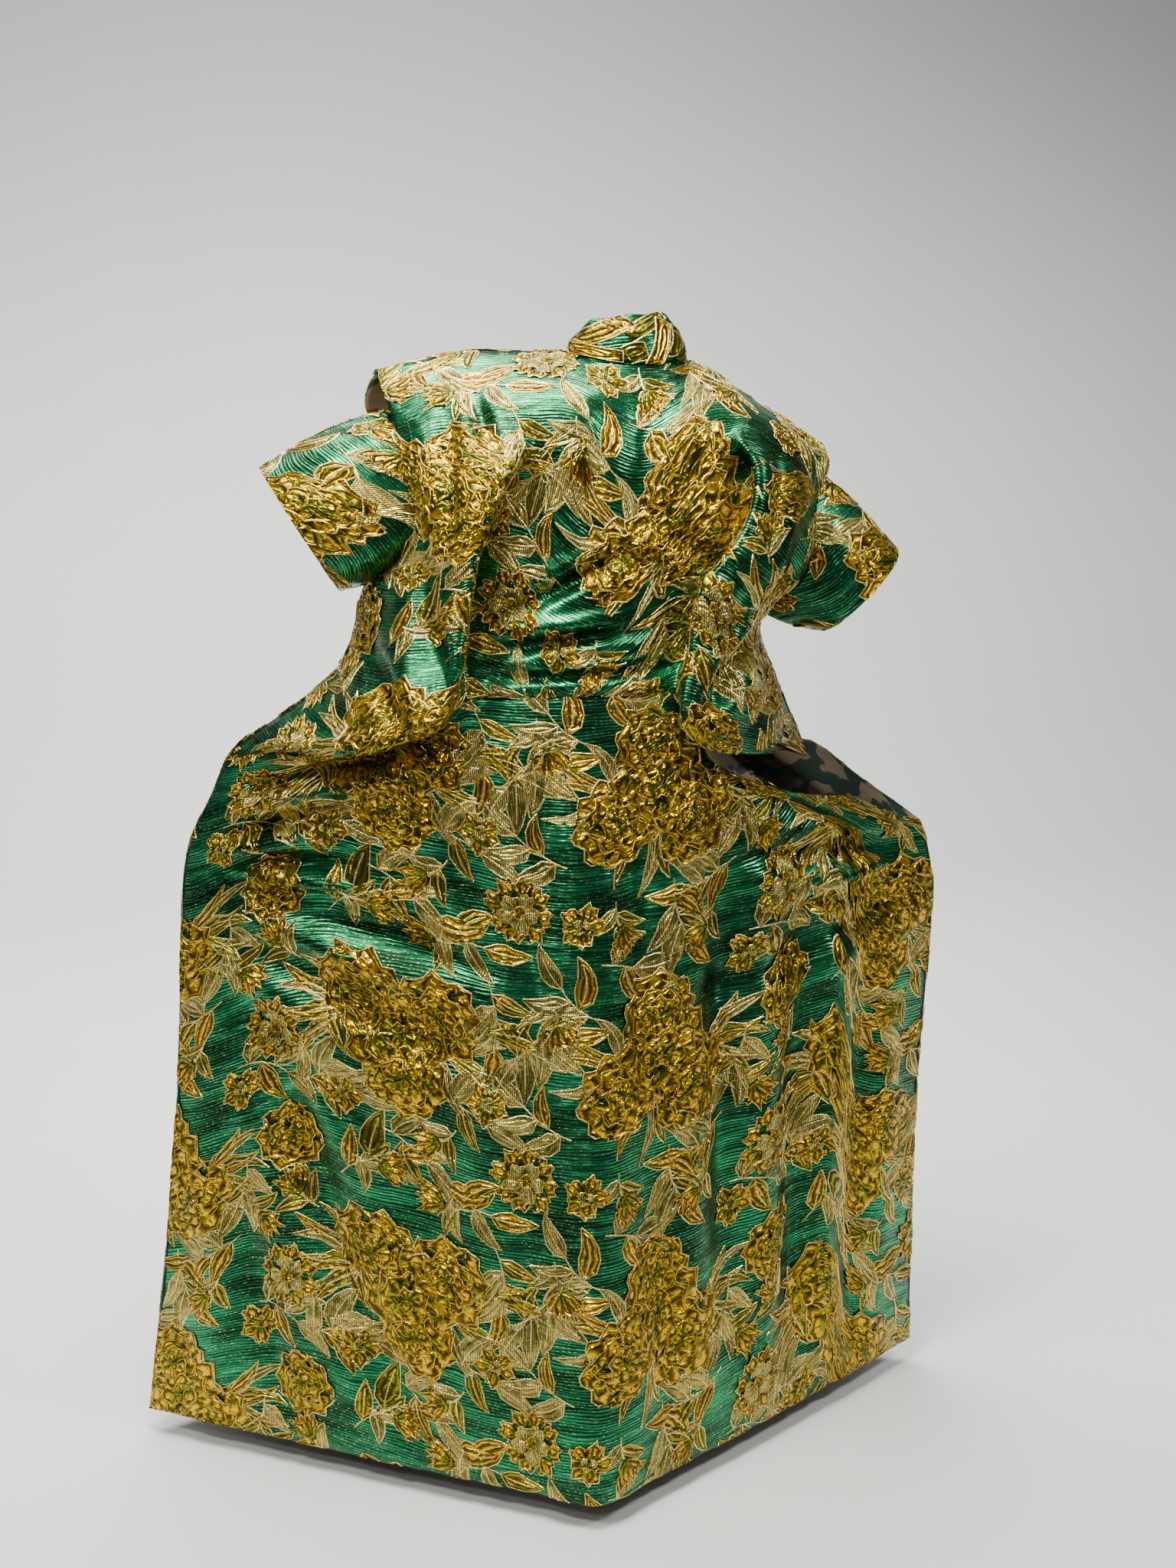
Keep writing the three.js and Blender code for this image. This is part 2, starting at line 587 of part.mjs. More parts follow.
// Its columns stand on the neckline's own points: round the back, then round the front.
function collarGrid() {
  const angles = [];
  for (let k = 0; k < NECK_STEPS; k += 1) angles.push(lerp(NECK_SIDE, -NECK_SIDE, k / NECK_STEPS));
  for (let k = 0; k < NECK_STEPS; k += 1) angles.push(lerp(-NECK_SIDE, NECK_SIDE - 360, k / NECK_STEPS));
  const grid = [];
  for (let i = 0; i <= COLLAR_ROWS; i += 1) {
    grid.push(angles.map((angle) => collarPoint(angle, 1 - i / COLLAR_ROWS)));
  }
  return grid;
}

// The panels, and the seams between them
const back = panel(backGrid, 1);
const front = panel(frontGrid, -1);
const backSkirt = panel(skirtBack, 1);
const frontSkirt = panel(skirtFront, -1);
const sleeveLeft = sleeve(LEFT_SLEEVE);
const sleeveRight = sleeve(RIGHT_SLEEVE);
const collar = panel(collarGrid(), 1, true);

const SKIRT_LAST = skirtBack.length - 1;
const NECK_END = LAST_COL - NECK_COL;
const SEWN_BACK = RIGHT_CREST_COL - PARTING_STEPS;
const SEWN_FRONT = FRONT_FREE_COL - PARTING_STEPS;
// Shoulder seams
for (const [from, to] of [[0, NECK_COL], [NECK_END, LAST_COL]]) {
  join(back, rowEdge(back, 0, from, to), front, rowEdge(front, 0, from, to));
}
// Waist seams, up to where the skirt leaves them on the right
for (const [upper, lower, end] of [[back, backSkirt, SEWN_BACK], [front, frontSkirt, SEWN_FRONT]]) {
  join(upper, rowEdge(upper, LAST_ROW, 0, end), lower, rowEdge(lower, 0, 0, end));
}
// Side seams, from the underarm to the waist and from the waist to the hem
for (const column of [0, LAST_COL]) {
  const side = (piece, from, to) => columnEdge(piece, column, from, to);
  join(back, side(back, UNDERARM_ROW, LAST_ROW), front, side(front, UNDERARM_ROW, LAST_ROW));
  join(backSkirt, side(backSkirt, 0, SKIRT_LAST), frontSkirt, side(frontSkirt, 0, SKIRT_LAST));
}
// Armhole seams, below the part that is sunk under the flange
for (const [piece, column] of [[sleeveLeft, 0], [sleeveRight, LAST_COL]]) {
  const frontStart = 2 * UNDERARM_ROW - SUNK_ROWS;
  for (const [body, start] of [[back, SUNK_ROWS], [front, frontStart]]) {
    const armholeEdge = columnEdge(body, column, SUNK_ROWS, UNDERARM_ROW);
    join(body, armholeEdge, piece, rowEdge(piece, 0, start, UNDERARM_ROW));
  }
}
// Neck seam
for (const [body, start] of [[back, 0], [front, 2 * NECK_STEPS]]) {
  const neckEdge = rowEdge(body, 0, NECK_COL, NECK_END);
  join(body, neckEdge, collar, rowEdge(collar, COLLAR_ROWS, start, NECK_STEPS));
}

// The gown
const gown = new THREE.Group();
gown.add(cloth("back", wall(back), FABRIC.face));
gown.add(cloth("front", wall(front), FABRIC.face));
gown.add(cloth("skirt_back", wall(backSkirt), FABRIC.skirt));
gown.add(cloth("skirt_front", wall(frontSkirt), FABRIC.skirt));
gown.add(cloth("sleeve_left", wall(sleeveLeft), FABRIC.sleeve));
gown.add(cloth("sleeve_right", wall(sleeveRight), FABRIC.sleeve));
gown.add(cloth("collar", wall(collar), FABRIC.collar));

export default gown;
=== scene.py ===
"""A full-length gown in raised floral brocade, worn, hollow and held out at both side seams."""
import itertools
import math

import bmesh
import bpy
import numpy as np
from mathutils import Matrix, Vector


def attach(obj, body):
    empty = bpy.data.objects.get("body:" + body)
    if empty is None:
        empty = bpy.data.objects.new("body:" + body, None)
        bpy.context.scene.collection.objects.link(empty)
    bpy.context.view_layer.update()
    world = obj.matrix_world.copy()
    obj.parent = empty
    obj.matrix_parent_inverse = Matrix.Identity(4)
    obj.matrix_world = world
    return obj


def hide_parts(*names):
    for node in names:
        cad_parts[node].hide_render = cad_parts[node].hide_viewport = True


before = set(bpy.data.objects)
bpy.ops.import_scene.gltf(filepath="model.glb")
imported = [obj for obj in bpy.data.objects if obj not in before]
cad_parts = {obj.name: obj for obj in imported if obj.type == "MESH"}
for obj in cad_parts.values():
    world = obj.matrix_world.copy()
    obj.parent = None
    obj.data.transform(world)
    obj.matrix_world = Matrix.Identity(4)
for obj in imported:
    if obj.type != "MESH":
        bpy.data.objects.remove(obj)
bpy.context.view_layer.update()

# The camera stands 2.4 m behind the gown at the height of its neck and looks 12.65 degrees down.
# Its picture is 1536 by 2048 and its focal length 2447 of those pixels.
CAMERA_PLACE = (0.454, 2.346, 0.0)
CAMERA_HEADING = (-0.1725, -0.985)
CAMERA_PITCH = math.radians(12.65)
FOCAL_PIXELS = 2447
PICTURE_HEIGHT = 2048
SENSOR = 36.0


def new_object(name, data):
    """A new object in the scene, at the origin"""
    made = bpy.data.objects.new(name, data)
    bpy.context.scene.collection.objects.link(made)
    return made


def aimed(place, heading):
    """The matrix of a camera or a light at a place, looking along a heading"""
    return Matrix.Translation(place) @ Vector(heading).to_track_quat("-Z", "Y").to_matrix().to_4x4()


camera_data = bpy.data.cameras.new("camera")
camera_data.sensor_width = SENSOR
camera_data.lens = FOCAL_PIXELS / PICTURE_HEIGHT * SENSOR
camera = new_object("camera", camera_data)
level = math.cos(CAMERA_PITCH)
camera.matrix_world = aimed(
    CAMERA_PLACE,
    (CAMERA_HEADING[0] * level, CAMERA_HEADING[1] * level, -math.sin(CAMERA_PITCH)),
)
bpy.context.scene.camera = camera

# The upper back is one cloth from the shoulders to the waist. A deep fold stands up from each
# shoulder blade, and from its crest the cloth falls as a drape that is sewn in the side seam and
# rolls over the waist. It is lofted through sections in millimetres, then pressed with folds.
MM = 0.001
FINE = 4
STEPS_ACROSS = [n * FINE for n in (3, 5, 5, 3, 3, 3, 3, 3, 3, 5, 5, 3)]
STEPS_DOWN = [n * FINE for n in (2, 2, 2, 2, 2, 2, 2, 2, 2, 2, 3)]
UNDERARM_ROW = sum(STEPS_DOWN[:6])
LAST_COL = sum(STEPS_ACROSS)
NECK_COL = sum(STEPS_ACROSS[:4])
NECK_STEPS = LAST_COL - 2 * NECK_COL
# The neck opening: middle, half width, reach behind and in front, height and dips, tilt
NECK_X, NECK_HALF, NECK_BACK, NECK_FRONT = -8, 74, 60, 64
NECK_TOP, NECK_NAPE, NECK_SCOOP, NECK_TILT = 9, 10, 42, 5
NECK_SIDE = 84
# How far the cloth fills out between its seams, and how many points wide a seam's groove is
FULLNESS = 1.6
GROOVE = 1.3
# Where a section's points lie between a valley and its middle, and how far they stand out
OUTER_SHARE, INNER_SHARE, SHOULDER_BULGE = 0.38, 0.7, 6
# Rows from the top: armhole edge or side seam, middle of the drape, crest of the fold, its valley
LEFT_DRAPE = [
    ((306, 0, -8), (209, -4, 13), (150, -2, 15), (110, 0, 15)),
    ((296, 32, -43), (236, 56, -42), (160, 82, -42), (130, 87, -42)),
    ((283, 60, -90), (234, 94, -92), (147, 121, -92), (126, 112, -97)),
    ((275, 72, -138), (240, 118, -136), (169, 152, -130), (160, 103, -140)),
    ((267, 80, -188), (242, 128, -180), (189, 165, -174), (186, 98, -182)),
    ((288, 52, -236), (258, 124, -232), (207, 170, -228), (207, 95, -233)),
    ((326, 12, -268), (281, 112, -280), (217, 171, -280), (221, 94, -284)),
    ((340, 9, -325), (297, 112, -328), (226, 174, -325), (223, 97, -324)),
    ((362, 4, -370), (312, 120, -370), (237, 181, -362), (219, 101, -354)),
    ((402, -2, -408), (330, 134, -412), (251, 188, -397), (211, 105, -376)),
    ((480, -15, -464), (372, 128, -457), (268, 180, -421), (203, 108, -388)),
    ((506, -20, -492), (366, 86, -440), (264, 132, -411), (196, 111, -397)),
]
RIGHT_DRAPE = [
    ((-262, 2, -102), (-190, -4, -57), (-150, -3, -31), (-116, -2, -9)),
    ((-266, 15, -122), (-206, 50, -86), (-146, 80, -62), (-126, 87, -56)),
    ((-250, 40, -152), (-198, 92, -118), (-123, 118, -88), (-110, 110, -93)),
    ((-234, 60, -188), (-196, 112, -152), (-138, 136, -118), (-142, 101, -128)),
    ((-234, 60, -230), (-194, 122, -190), (-136, 146, -158), (-152, 98, -166)),
    ((-222, 56, -268), (-176, 132, -232), (-116, 155, -204), (-140, 96, -212)),
    ((-180, 24, -312), (-134, 142, -286), (-72, 168, -256), (-106, 95, -262)),
    ((-178, 12, -345), (-116, 147, -328), (-57, 173, -302), (-82, 96, -306)),
    ((-196, 10, -385), (-118, 150, -372), (-53, 177, -348), (-67, 100, -346)),
    ((-216, 10, -428), (-130, 150, -420), (-42, 189, -396), (-55, 106, -372)),
    ((-236, 12, -474), (-158, 118, -477), (-52, 180, -438), (-48, 110, -386)),
    ((-244, 16, -504), (-158, 86, -462), (-66, 138, -436), (-42, 112, -397)),
]
MIDDLE_BACK = [
    (-8, 60, -1), (-8, 84, -44), (-4, 102, -94), (4, 112, -140), (14, 117, -186), (26, 121, -232),
    (38, 124, -276), (50, 126, -315), (60, 128, -348), (68, 130, -370), (74, 131, -384),
    (78, 131, -395),
]
# Folds, here and below: from x, z, to x, z, depth, half width
BACK_FOLDS = [
    (150, -290, 20, -226, 15, 13), (190, -338, 0, -316, 12, 12), (150, -318, 40, -300, -7, 12),
    (186, -372, -30, -366, 10, 9), (120, -352, 10, -344, 6, 8), (60, -196, -40, -262, 6, 12),
    (-20, -180, -90, -240, 7, 16), (40, -60, 70, -180, 5, 18), (-90, -70, -50, -170, 6, 18),
    (262, -205, 262, -380, 13, 16), (226, -60, 232, -190, 9, 14), (284, -70, 270, -200, 7, 12),
    (196, -30, 176, -110, 7, 12), (330, -330, 300, -430, 12, 18), (250, -300, 240, -400, 9, 12),
    (440, -452, 330, -420, 8, 12), (470, -478, 380, -462, 7, 10), (-150, -322, -75, -398, 24, 17),
    (-120, -280, -82, -380, 8, 11), (-215, -180, -190, -270, 9, 18),
    (-168, -110, -160, -220, 7, 12), (-190, -290, -150, -370, 9, 13),
    (-210, -400, -130, -440, 9, 13),
]


# Below these lengths two points count as one
SAME_PLACE, NO_LENGTH = 1e-4, 1e-9
# How deep a fold is at its ends as a share of half a wave, and how soon its sides level out
FOLD_ENDS, FOLD_SPREAD = 0.12, 1.6


def gap(a, b):
    """The spacing of knots between two points: the root of their distance"""
    return np.sum((b - a) ** 2, axis=-1, keepdims=True) ** 0.25


def along(points, steps):
    """Samples smooth curves through rows of points, with steps[i] samples between rows i and i + 1."""
    points = np.asarray(points, float)
    first = 2 * points[:1] - points[1:2]
    last = 2 * points[-1:] - points[-2:-1]
    knots = np.concatenate([first, points, last])
    samples = []
    for span, count in enumerate(steps):
        a, b, c, d = knots[span:span + 4]
        middle = np.maximum(gap(b, c), SAME_PLACE)
        before, after = (np.where(g < SAME_PLACE, middle, g) for g in (gap(a, b), gap(c, d)))
        leave = ((b - a) / before - (c - a) / (before + middle) + (c - b) / middle) * middle
        arrive = ((c - b) / middle - (d - b) / (middle + after) + (d - c) / after) * middle
        for t in np.arange(count) / count:
            curve = (3 * (c - b) - 2 * leave - arrive) * t**2 + (2 * (b - c) + leave + arrive) * t**3
            samples.append(b + leave * t + curve)
    samples.append(points[-1])
    return np.array(samples)


def loft(rows, across, down):
    """Lofts a grid of points through rows of points: across each row, then down each column."""
    sections = along(np.asarray(rows, float).swapaxes(0, 1), across).swapaxes(0, 1)
    return along(sections, down)


def unit(vectors):
    """The same directions, each one long"""
    return vectors / np.maximum(np.linalg.norm(vectors, axis=-1, keepdims=True), NO_LENGTH)


def normals(grid, side):
    """The unit normals of a grid, outwards for a side of 1 behind and -1 in front"""
    return unit(np.cross(np.gradient(grid, axis=0), np.gradient(grid, axis=1)) * side)


def smooth(t):
    """Eases from 0 to 1"""
    return t * t * (3 - 2 * t)


def fold_depth(folds, x, z):
    """How far the folds of a table raise each point, with a shallow trough on either side of each"""
    total = np.zeros_like(x)
    for x0, z0, x1, z1, depth, width in folds:
        dx, dz = x1 - x0, z1 - z0
        t = np.clip(((x - x0) * dx + (z - z0) * dz) / (dx * dx + dz * dz), 0, 1)
        away = np.hypot(x - x0 - t * dx, z - z0 - t * dz)
        reach = (away / width) ** 2
        ridge = depth * np.sin(np.pi * (FOLD_ENDS + (1 - 2 * FOLD_ENDS) * t))
        total += ridge * (1 - reach) * np.exp(-reach / FOLD_SPREAD)
    return total


def press(grid, side, folds, fade=2 * FINE):
    """Presses folds into a grid along its normals, fading out towards its edges, and fills it out
    a little, so that its seams lie in a groove."""
    rows, cols = grid.shape[:2]
    i, j = np.mgrid[0:rows, 0:cols]
    edge = np.minimum(np.minimum(i, rows - 1 - i), np.minimum(j, cols - 1 - j))
    depth = smooth(np.minimum(edge / fade, 1)) * fold_depth(folds, grid[..., 0], grid[..., 2])
    depth -= FULLNESS * (1 - np.exp(-((edge / GROOVE) ** 2)))
    return grid - normals(grid, side) * depth[..., None]


def neckline(angle):
    """A point of the neck opening, at an angle in degrees from the nape towards the left."""
    turn = np.radians(angle)
    behind = np.cos(turn) > 0
    reach = np.where(behind, NECK_BACK, NECK_FRONT)
    dip = np.where(behind, NECK_NAPE, NECK_SCOOP) * np.cos(turn) ** 2
    return np.stack([
        NECK_X + NECK_HALF * np.sin(turn),
        reach * np.cos(turn),
        NECK_TOP + NECK_TILT * np.sin(turn) - dip,
    ], axis=-1)


def bodice(left, middle, right):
    """The points of a section between its two valleys, bulged a little over the shoulder blades."""
    points = []
    for edge in (left, right):
        edge = np.asarray(edge)
        for share in (OUTER_SHARE, INNER_SHARE):
            bulge = (0, SHOULDER_BULGE * math.sin(math.pi * share), 0)
            points.append(edge + (np.asarray(middle) - edge) * share + bulge)
    return [points[0], points[1], middle, points[3], points[2]]


back_rows = []
for row, (left, middle, right) in enumerate(zip(LEFT_DRAPE, MIDDLE_BACK, RIGHT_DRAPE)):
    inner = bodice(left[3], middle, right[3])
    if row == 0:
        inner = neckline(np.linspace(NECK_SIDE, -NECK_SIDE, 5))
    back_rows.append([*left, *inner, *right[::-1]])
back_plain = loft(back_rows, STEPS_ACROSS, STEPS_DOWN)
back_grid = press(back_plain, 1, BACK_FOLDS)
neck_angles = np.linspace(NECK_SIDE, -NECK_SIDE, NECK_STEPS + 1)
back_grid[0, NECK_COL:NECK_COL + NECK_STEPS + 1] = neckline(neck_angles)


class Wire:
    """A shader socket. Sums and products of wires add Math nodes, and node() adds any other node."""

    def __init__(self, tree, socket=None):
        self.tree = tree
        self.socket = socket

    def node(self, kind, sockets, out=0, **settings):
        made = self.tree.nodes.new("ShaderNode" + kind)
        for name, value in settings.items():
            setattr(made, name, value)
        for name, value in sockets.items():
            if isinstance(value, Wire):
                self.tree.links.new(value.socket, made.inputs[name])
            else:
                made.inputs[name].default_value = value
        return Wire(self.tree, made.outputs[out])

    def maths(self, operation, first, second=0.0):
        return self.node("Math", {0: first, 1: second}, operation=operation)

    def __add__(self, other):
        return self.maths("ADD", self, other)

    def __sub__(self, other):
        return self.maths("SUBTRACT", self, other)

    def __rsub__(self, other):
        return self.maths("SUBTRACT", other, self)

    def __mul__(self, other):
        return self.maths("MULTIPLY", self, other)

    __radd__ = __add__

    def sine(self):
        return self.maths("SINE", self)

    def step(self, low, high):
        """0 below low, 1 above high and smooth between"""
        limits = {"Value": self, "From Min": low, "From Max": high}
        return self.node("MapRange", limits, interpolation_type="SMOOTHSTEP")

    def scaled(self, x, y):
        return self.node("VectorMath", {0: self, 1: (x, y, 1.0)}, operation="MULTIPLY")

    def along_axis(self, axis):
        """One coordinate of this wire: 0 for x, 1 for y, 2 for z"""
        return self.node("SeparateXYZ", {0: self}, out=axis)

    def attribute(self, name):
        """A value that the mesh carries at each vertex"""
        return self.node("Attribute", {}, out=2, attribute_name=name)

    def noise(self, detail=2.0):
        values = {"Vector": self, "Scale": 1.0, "Detail": detail}
        return self.node("TexNoise", values, noise_dimensions="2D")

    def mix(self, *colours):
        """The first colour where this wire is 0 and the second where it is 1"""
        first, second = (linear(c) if isinstance(c, int) else c for c in colours)
        return self.node("Mix", {0: self, 6: first, 7: second}, out=2, data_type="RGBA")


def linear(code):
    """A display colour such as 0x1F6B4A as the shader's own red, green, blue and alpha"""
    parts = [((code >> shift) & 255) / 255 for shift in (16, 8, 0)]
    return (*[(c / 12.92 if c <= 0.04045 else ((c + 0.055) / 1.055) ** 2.4) for c in parts], 1.0)


def finish(name):
    """A new material with an empty tree, and its first wire"""
    made = bpy.data.materials.new(name)
    made.use_nodes = True
    made.node_tree.nodes.clear()
    return made, Wire(made.node_tree)


def cloth_finish(name):
    """The same for woven parts, with a wire of the flat point in metres as well"""
    made, wire = finish(name)
    return made, wire, wire.node("UVMap", {}, uv_map="flat")


def surface(wire, height, rise, colour, roughness, metallic=0.0, sheen=0.0):
    """Ends a material: a bump as tall as rise metres on a Principled surface"""
    principled = wire.node("BsdfPrincipled", {
        "Base Color": colour,
        "Roughness": roughness,
        "Metallic": metallic,
        "Sheen Weight": sheen,
        "Normal": wire.node("Bump", {"Height": height, "Distance": rise, "Strength": 1.0}),
    })
    output = wire.tree.nodes.new("ShaderNodeOutputMaterial")
    wire.tree.links.new(principled.socket, output.inputs["Surface"])


def green_satin():
    """The right side of the ground: dark satin in soft crinkles, with a long wavy weft. Its sheen is
    painted into the colour as lighter green along the crinkles, the weft and broad clouds, and the
    weft's glints as pale specks.
    """
    made, wire, flat = cloth_finish("green_satin")
    cloud = flat.scaled(6, 9).noise()
    crush = flat.scaled(13, 62).noise(3.0)
    drift = flat.scaled(14, 70).noise(1.5)
    weft = (flat.along_axis(1) * 1500 + drift * 11).sine() * 0.5 + 0.5
    fine = flat.scaled(60, 1100).noise(2.0)
    # Painted glints: pale green specks on the crests of the weft
    painted_glint = flat.scaled(260, 560).noise(1.0).step(0.6, 0.7) * weft.step(0.55, 0.9)
    # Painted sheen: the satin is lighter along its crinkles, its weft and in broad clouds; the same mask
    # lowers the roughness
    light = crush.step(0.3, 0.72) * 0.34 + weft * 0.16 + fine * 0.22 + cloud.step(0.3, 0.7) * 0.28
    colour = (painted_glint * 0.7).mix((light * light * 1.25).mix(0x032409, 0x2CA066), 0xB8D49A)
    height = crush * 0.84 + weft * 0.12 + fine * 0.04
    surface(wire, height, 0.0032, colour, roughness=0.31 - light * 0.1, metallic=0.88)
    return made


def wrong_side():
    """The wrong side: dull dark green with the loose taupe floats of the motifs woven behind it"""
    made, wire, flat = cloth_finish("wrong_side")
    patch = flat.scaled(26, 20).noise(1.5).step(0.47, 0.53)
    rib = (flat.along_axis(1) * 3400).sine().step(-0.6, 0.6)
    dull = flat.scaled(40, 160).noise(2.0)
    floats = (rib * 0.6 + dull * 0.4).mix(0x5E5340, 0xA8967A)
    colour = patch.mix(dull.mix(0x12281E, 0x2A4A3A), floats)
    height = rib * patch * 0.6 + dull * 0.4
    surface(wire, height, 0.0006, colour, roughness=0.62 + dull * 0.2, sheen=0.2)
    return made


CLOTH = 0.0012
SEAM_REACH = 1e-5
# How much of the drop of a panel's top edge the flat cloth has too
TOP_CURVE = 0.7
satin, inside = green_satin(), wrong_side()


def flat_of(grid):
    """Where each point of a grid lay on the flat cloth, in metres: along the weft and down the warp"""
    rows, cols = grid.shape[:2]
    middle = cols // 2
    across = np.linalg.norm(np.diff(grid, axis=1), axis=-1)
    s = np.concatenate([np.zeros((rows, 1)), np.cumsum(across, axis=1)], axis=1)
    s -= s[:, middle:middle + 1]
    down = np.linalg.norm(np.diff(grid, axis=0), axis=-1)
    t = np.concatenate([np.zeros((1, cols)), np.cumsum(down, axis=0)], axis=0)
    t += (grid[0, middle, 2] - grid[0, :, 2])[None, :] * TOP_CURVE
    return np.stack([s, -t], axis=-1) * MM


def quads_of(rows, cols):
    """The faces of a grid of points"""
    at = np.arange(rows * cols).reshape(rows, cols)
    return np.stack([at[:-1, :-1], at[1:, :-1], at[1:, 1:], at[:-1, 1:]], axis=-1).reshape(-1, 4)


def woven_piece(name, points, faces, flat, material):
    """A piece of points in millimetres, with the flat point of each in metres"""
    mesh = bpy.data.meshes.new(name)
    mesh.from_pydata((points * MM).tolist(), [], faces.tolist())
    corners = mesh.uv_layers.new(name="flat")
    corners.data.foreach_set("uv", flat[faces.reshape(-1)].astype(np.float32).ravel())
    mesh.shade_smooth()
    mesh.materials.append(material)
    return new_object(name, mesh)


def cloth(name, grid, side, flat, closed=False):
    """A thin shell of cloth on a grid in millimetres, satin outside and its wrong side within.
    A closed one is joined where its ends meet."""
    quads = quads_of(*grid.shape[:2])
    if side < 0:
        quads = quads[:, [0, 3, 2, 1]]
    piece = woven_piece(name, grid.reshape(-1, 3), quads, flat.reshape(-1, 2), satin)
    if closed:
        shape = bmesh.new()
        shape.from_mesh(piece.data)
        bmesh.ops.remove_doubles(shape, verts=shape.verts, dist=SEAM_REACH)
        shape.to_mesh(piece.data)
        shape.free()
    piece.data.materials.append(inside)
    wall = piece.modifiers.new("wall", "SOLIDIFY")
    wall.thickness = CLOTH
    wall.offset = -1
    wall.material_offset = 1
    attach(piece, "root")
    return piece


def area_of(grid):
    """The area of a grid in square metres"""
    u, v = np.diff(grid, axis=1)[:-1] * MM, np.diff(grid, axis=0)[:, :-1] * MM
    return float(np.linalg.norm(np.cross(u, v), axis=-1).sum())


def declare(grid):
    """Works out the sheet's cut, the box of its flat points with the folds let out, and the smaller of
    its area and that box, but keeps neither
    """
    size = np.ptp(flat_of(grid).reshape(-1, 2), axis=0)
    min(area_of(grid), size.prod())


back_flat = flat_of(back_plain)
upper_back = cloth("upper_back", back_grid, 1, back_flat)
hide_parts("back")
declare(back_grid)

# The upper front is hidden from behind. It runs from the shoulder seams and the scooped neck to
# the waist, and its loose sides meet the drapes of the back in the side seams.
LEFT_FRONT_EDGE = [
    (306, 0, -8), (318, -30, -50), (296, -58, -96), (282, -70, -142), (278, -74, -190), (300, -42, -242),
]
RIGHT_FRONT_EDGE = [
    (-262, 2, -102), (-266, -18, -124), (-254, -42, -156),
    (-240, -58, -192), (-238, -58, -232), (-226, -46, -272),
]
MIDDLE_FRONT = [
    (-8, -64, -38), (-6, -86, -72), (-2, -102, -112), (6, -116, -152), (16, -124, -194),
    (28, -126, -238), (40, -122, -282), (50, -117, -322), (60, -114, -356), (68, -114, -382),
    (74, -117, -404), (78, -112, -420),
]
FRONT_ROUND = [0, 0.3, 0.5, 0.6, 0.7, 0.75, 0.8, 0.8, 0.8, 0.8, 0.8, 0.8]
FRONT_SHARES = [0.2, 0.38, 0.52, 0.66, 0.84]
FRONT_FOLDS = [
    (200, -300, 250, -440, 9, 22), (-60, -300, -110, -440, 9, 22), (120, -80, 170, -300, 7, 26),
    (-110, -110, -90, -310, 7, 26),
]


def rounded(edge, far, shares, amount):
    """Points from an edge to the far point of a section, straight at 0 and rounded out at 1"""
    edge, far = np.asarray(edge, float), np.asarray(far, float)
    shares = np.asarray(shares, float)[:, None]
    points = edge + (far - edge) * shares
    bulge = shares[:, 0] * (1 - amount) + np.sin(np.pi / 2 * shares[:, 0]) * amount
    points[:, 1] = edge[1] + (far[1] - edge[1]) * bulge
    return points


neck = neckline(np.array([NECK_SIDE, 135, 180, 225, 360 - NECK_SIDE]))
front_rows = [[*LEFT_DRAPE[0], *neck, *RIGHT_DRAPE[0][::-1]]]
left_edge = LEFT_FRONT_EDGE + [row[0] for row in LEFT_DRAPE[len(LEFT_FRONT_EDGE):]]
right_edge = RIGHT_FRONT_EDGE + [row[0] for row in RIGHT_DRAPE[len(RIGHT_FRONT_EDGE):]]
for left, right, middle, amount in [*zip(left_edge, right_edge, MIDDLE_FRONT, FRONT_ROUND)][1:]:
    left_half = rounded(left, middle, FRONT_SHARES, amount)
    right_half = rounded(right, middle, FRONT_SHARES, amount)
    front_rows.append([left, *left_half, middle, *right_half[::-1], right])
front_plain = loft(front_rows, STEPS_ACROSS, STEPS_DOWN)
front_grid = press(front_plain, -1, FRONT_FOLDS)
front_angles = np.linspace(NECK_SIDE, 360 - NECK_SIDE, NECK_STEPS + 1)
front_grid[0] = back_grid[0]
front_grid[0, NECK_COL:NECK_COL + NECK_STEPS + 1] = neckline(front_angles)
front_grid[UNDERARM_ROW:, [0, -1]] = back_grid[UNDERARM_ROW:, [0, -1]]

front_flat = flat_of(front_plain)
upper_front = cloth("upper_front", front_grid, -1, front_flat)
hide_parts("front")
declare(front_grid)

# The skirt hangs from the waist seam to the hem in two halves, sewn down both sides. It is held
# out at hip height on both sides. On the right its top leaves the drape and runs free.
HEM_Z = -1400
SKIRT = [
    # left seam, right seam, far point behind, far point in front, how round its plan is
    ((524, -21, -530), (-428, -24, -625), (70, 150, -500), (70, -140, -520), 0.85),
    ((560, -25, -612), (-441, -20, -690), (68, 164, -600), (66, -158, -610), 0.68),
    ((574, -30, -770), (-443, -30, -810), (69, 188, -775), (64, -176, -780), 0.44),
    ((592, -38, -990), (-439, -40, -1000), (72, 222, -995), (62, -192, -995), 0.25),
    ((618, -44, -1200), (-440, -46, -1200), (75, 252, -1200), (60, -204, -1200), 0.16),
    ((645, -50, HEM_Z), (-446, -50, HEM_Z), (77, 282, HEM_Z), (60, -214, HEM_Z), 0.12),
]
SKIRT_FINE = 6
SKIRT_STEPS_DOWN = [n * SKIRT_FINE for n in (3, 2, 3, 3, 3, 3)]
SKIRT_SHARES = np.array([0, 0.2, 0.38, 0.54, 0.7, 0.85, 1])
RIGHT_HAND = (-421, -30, -607)
BACK_CREST = [(-92, 132, -482), (-205, 90, -534), (-300, 44, -556), (-385, -6, -596)]
CREST_SAMPLES = 200
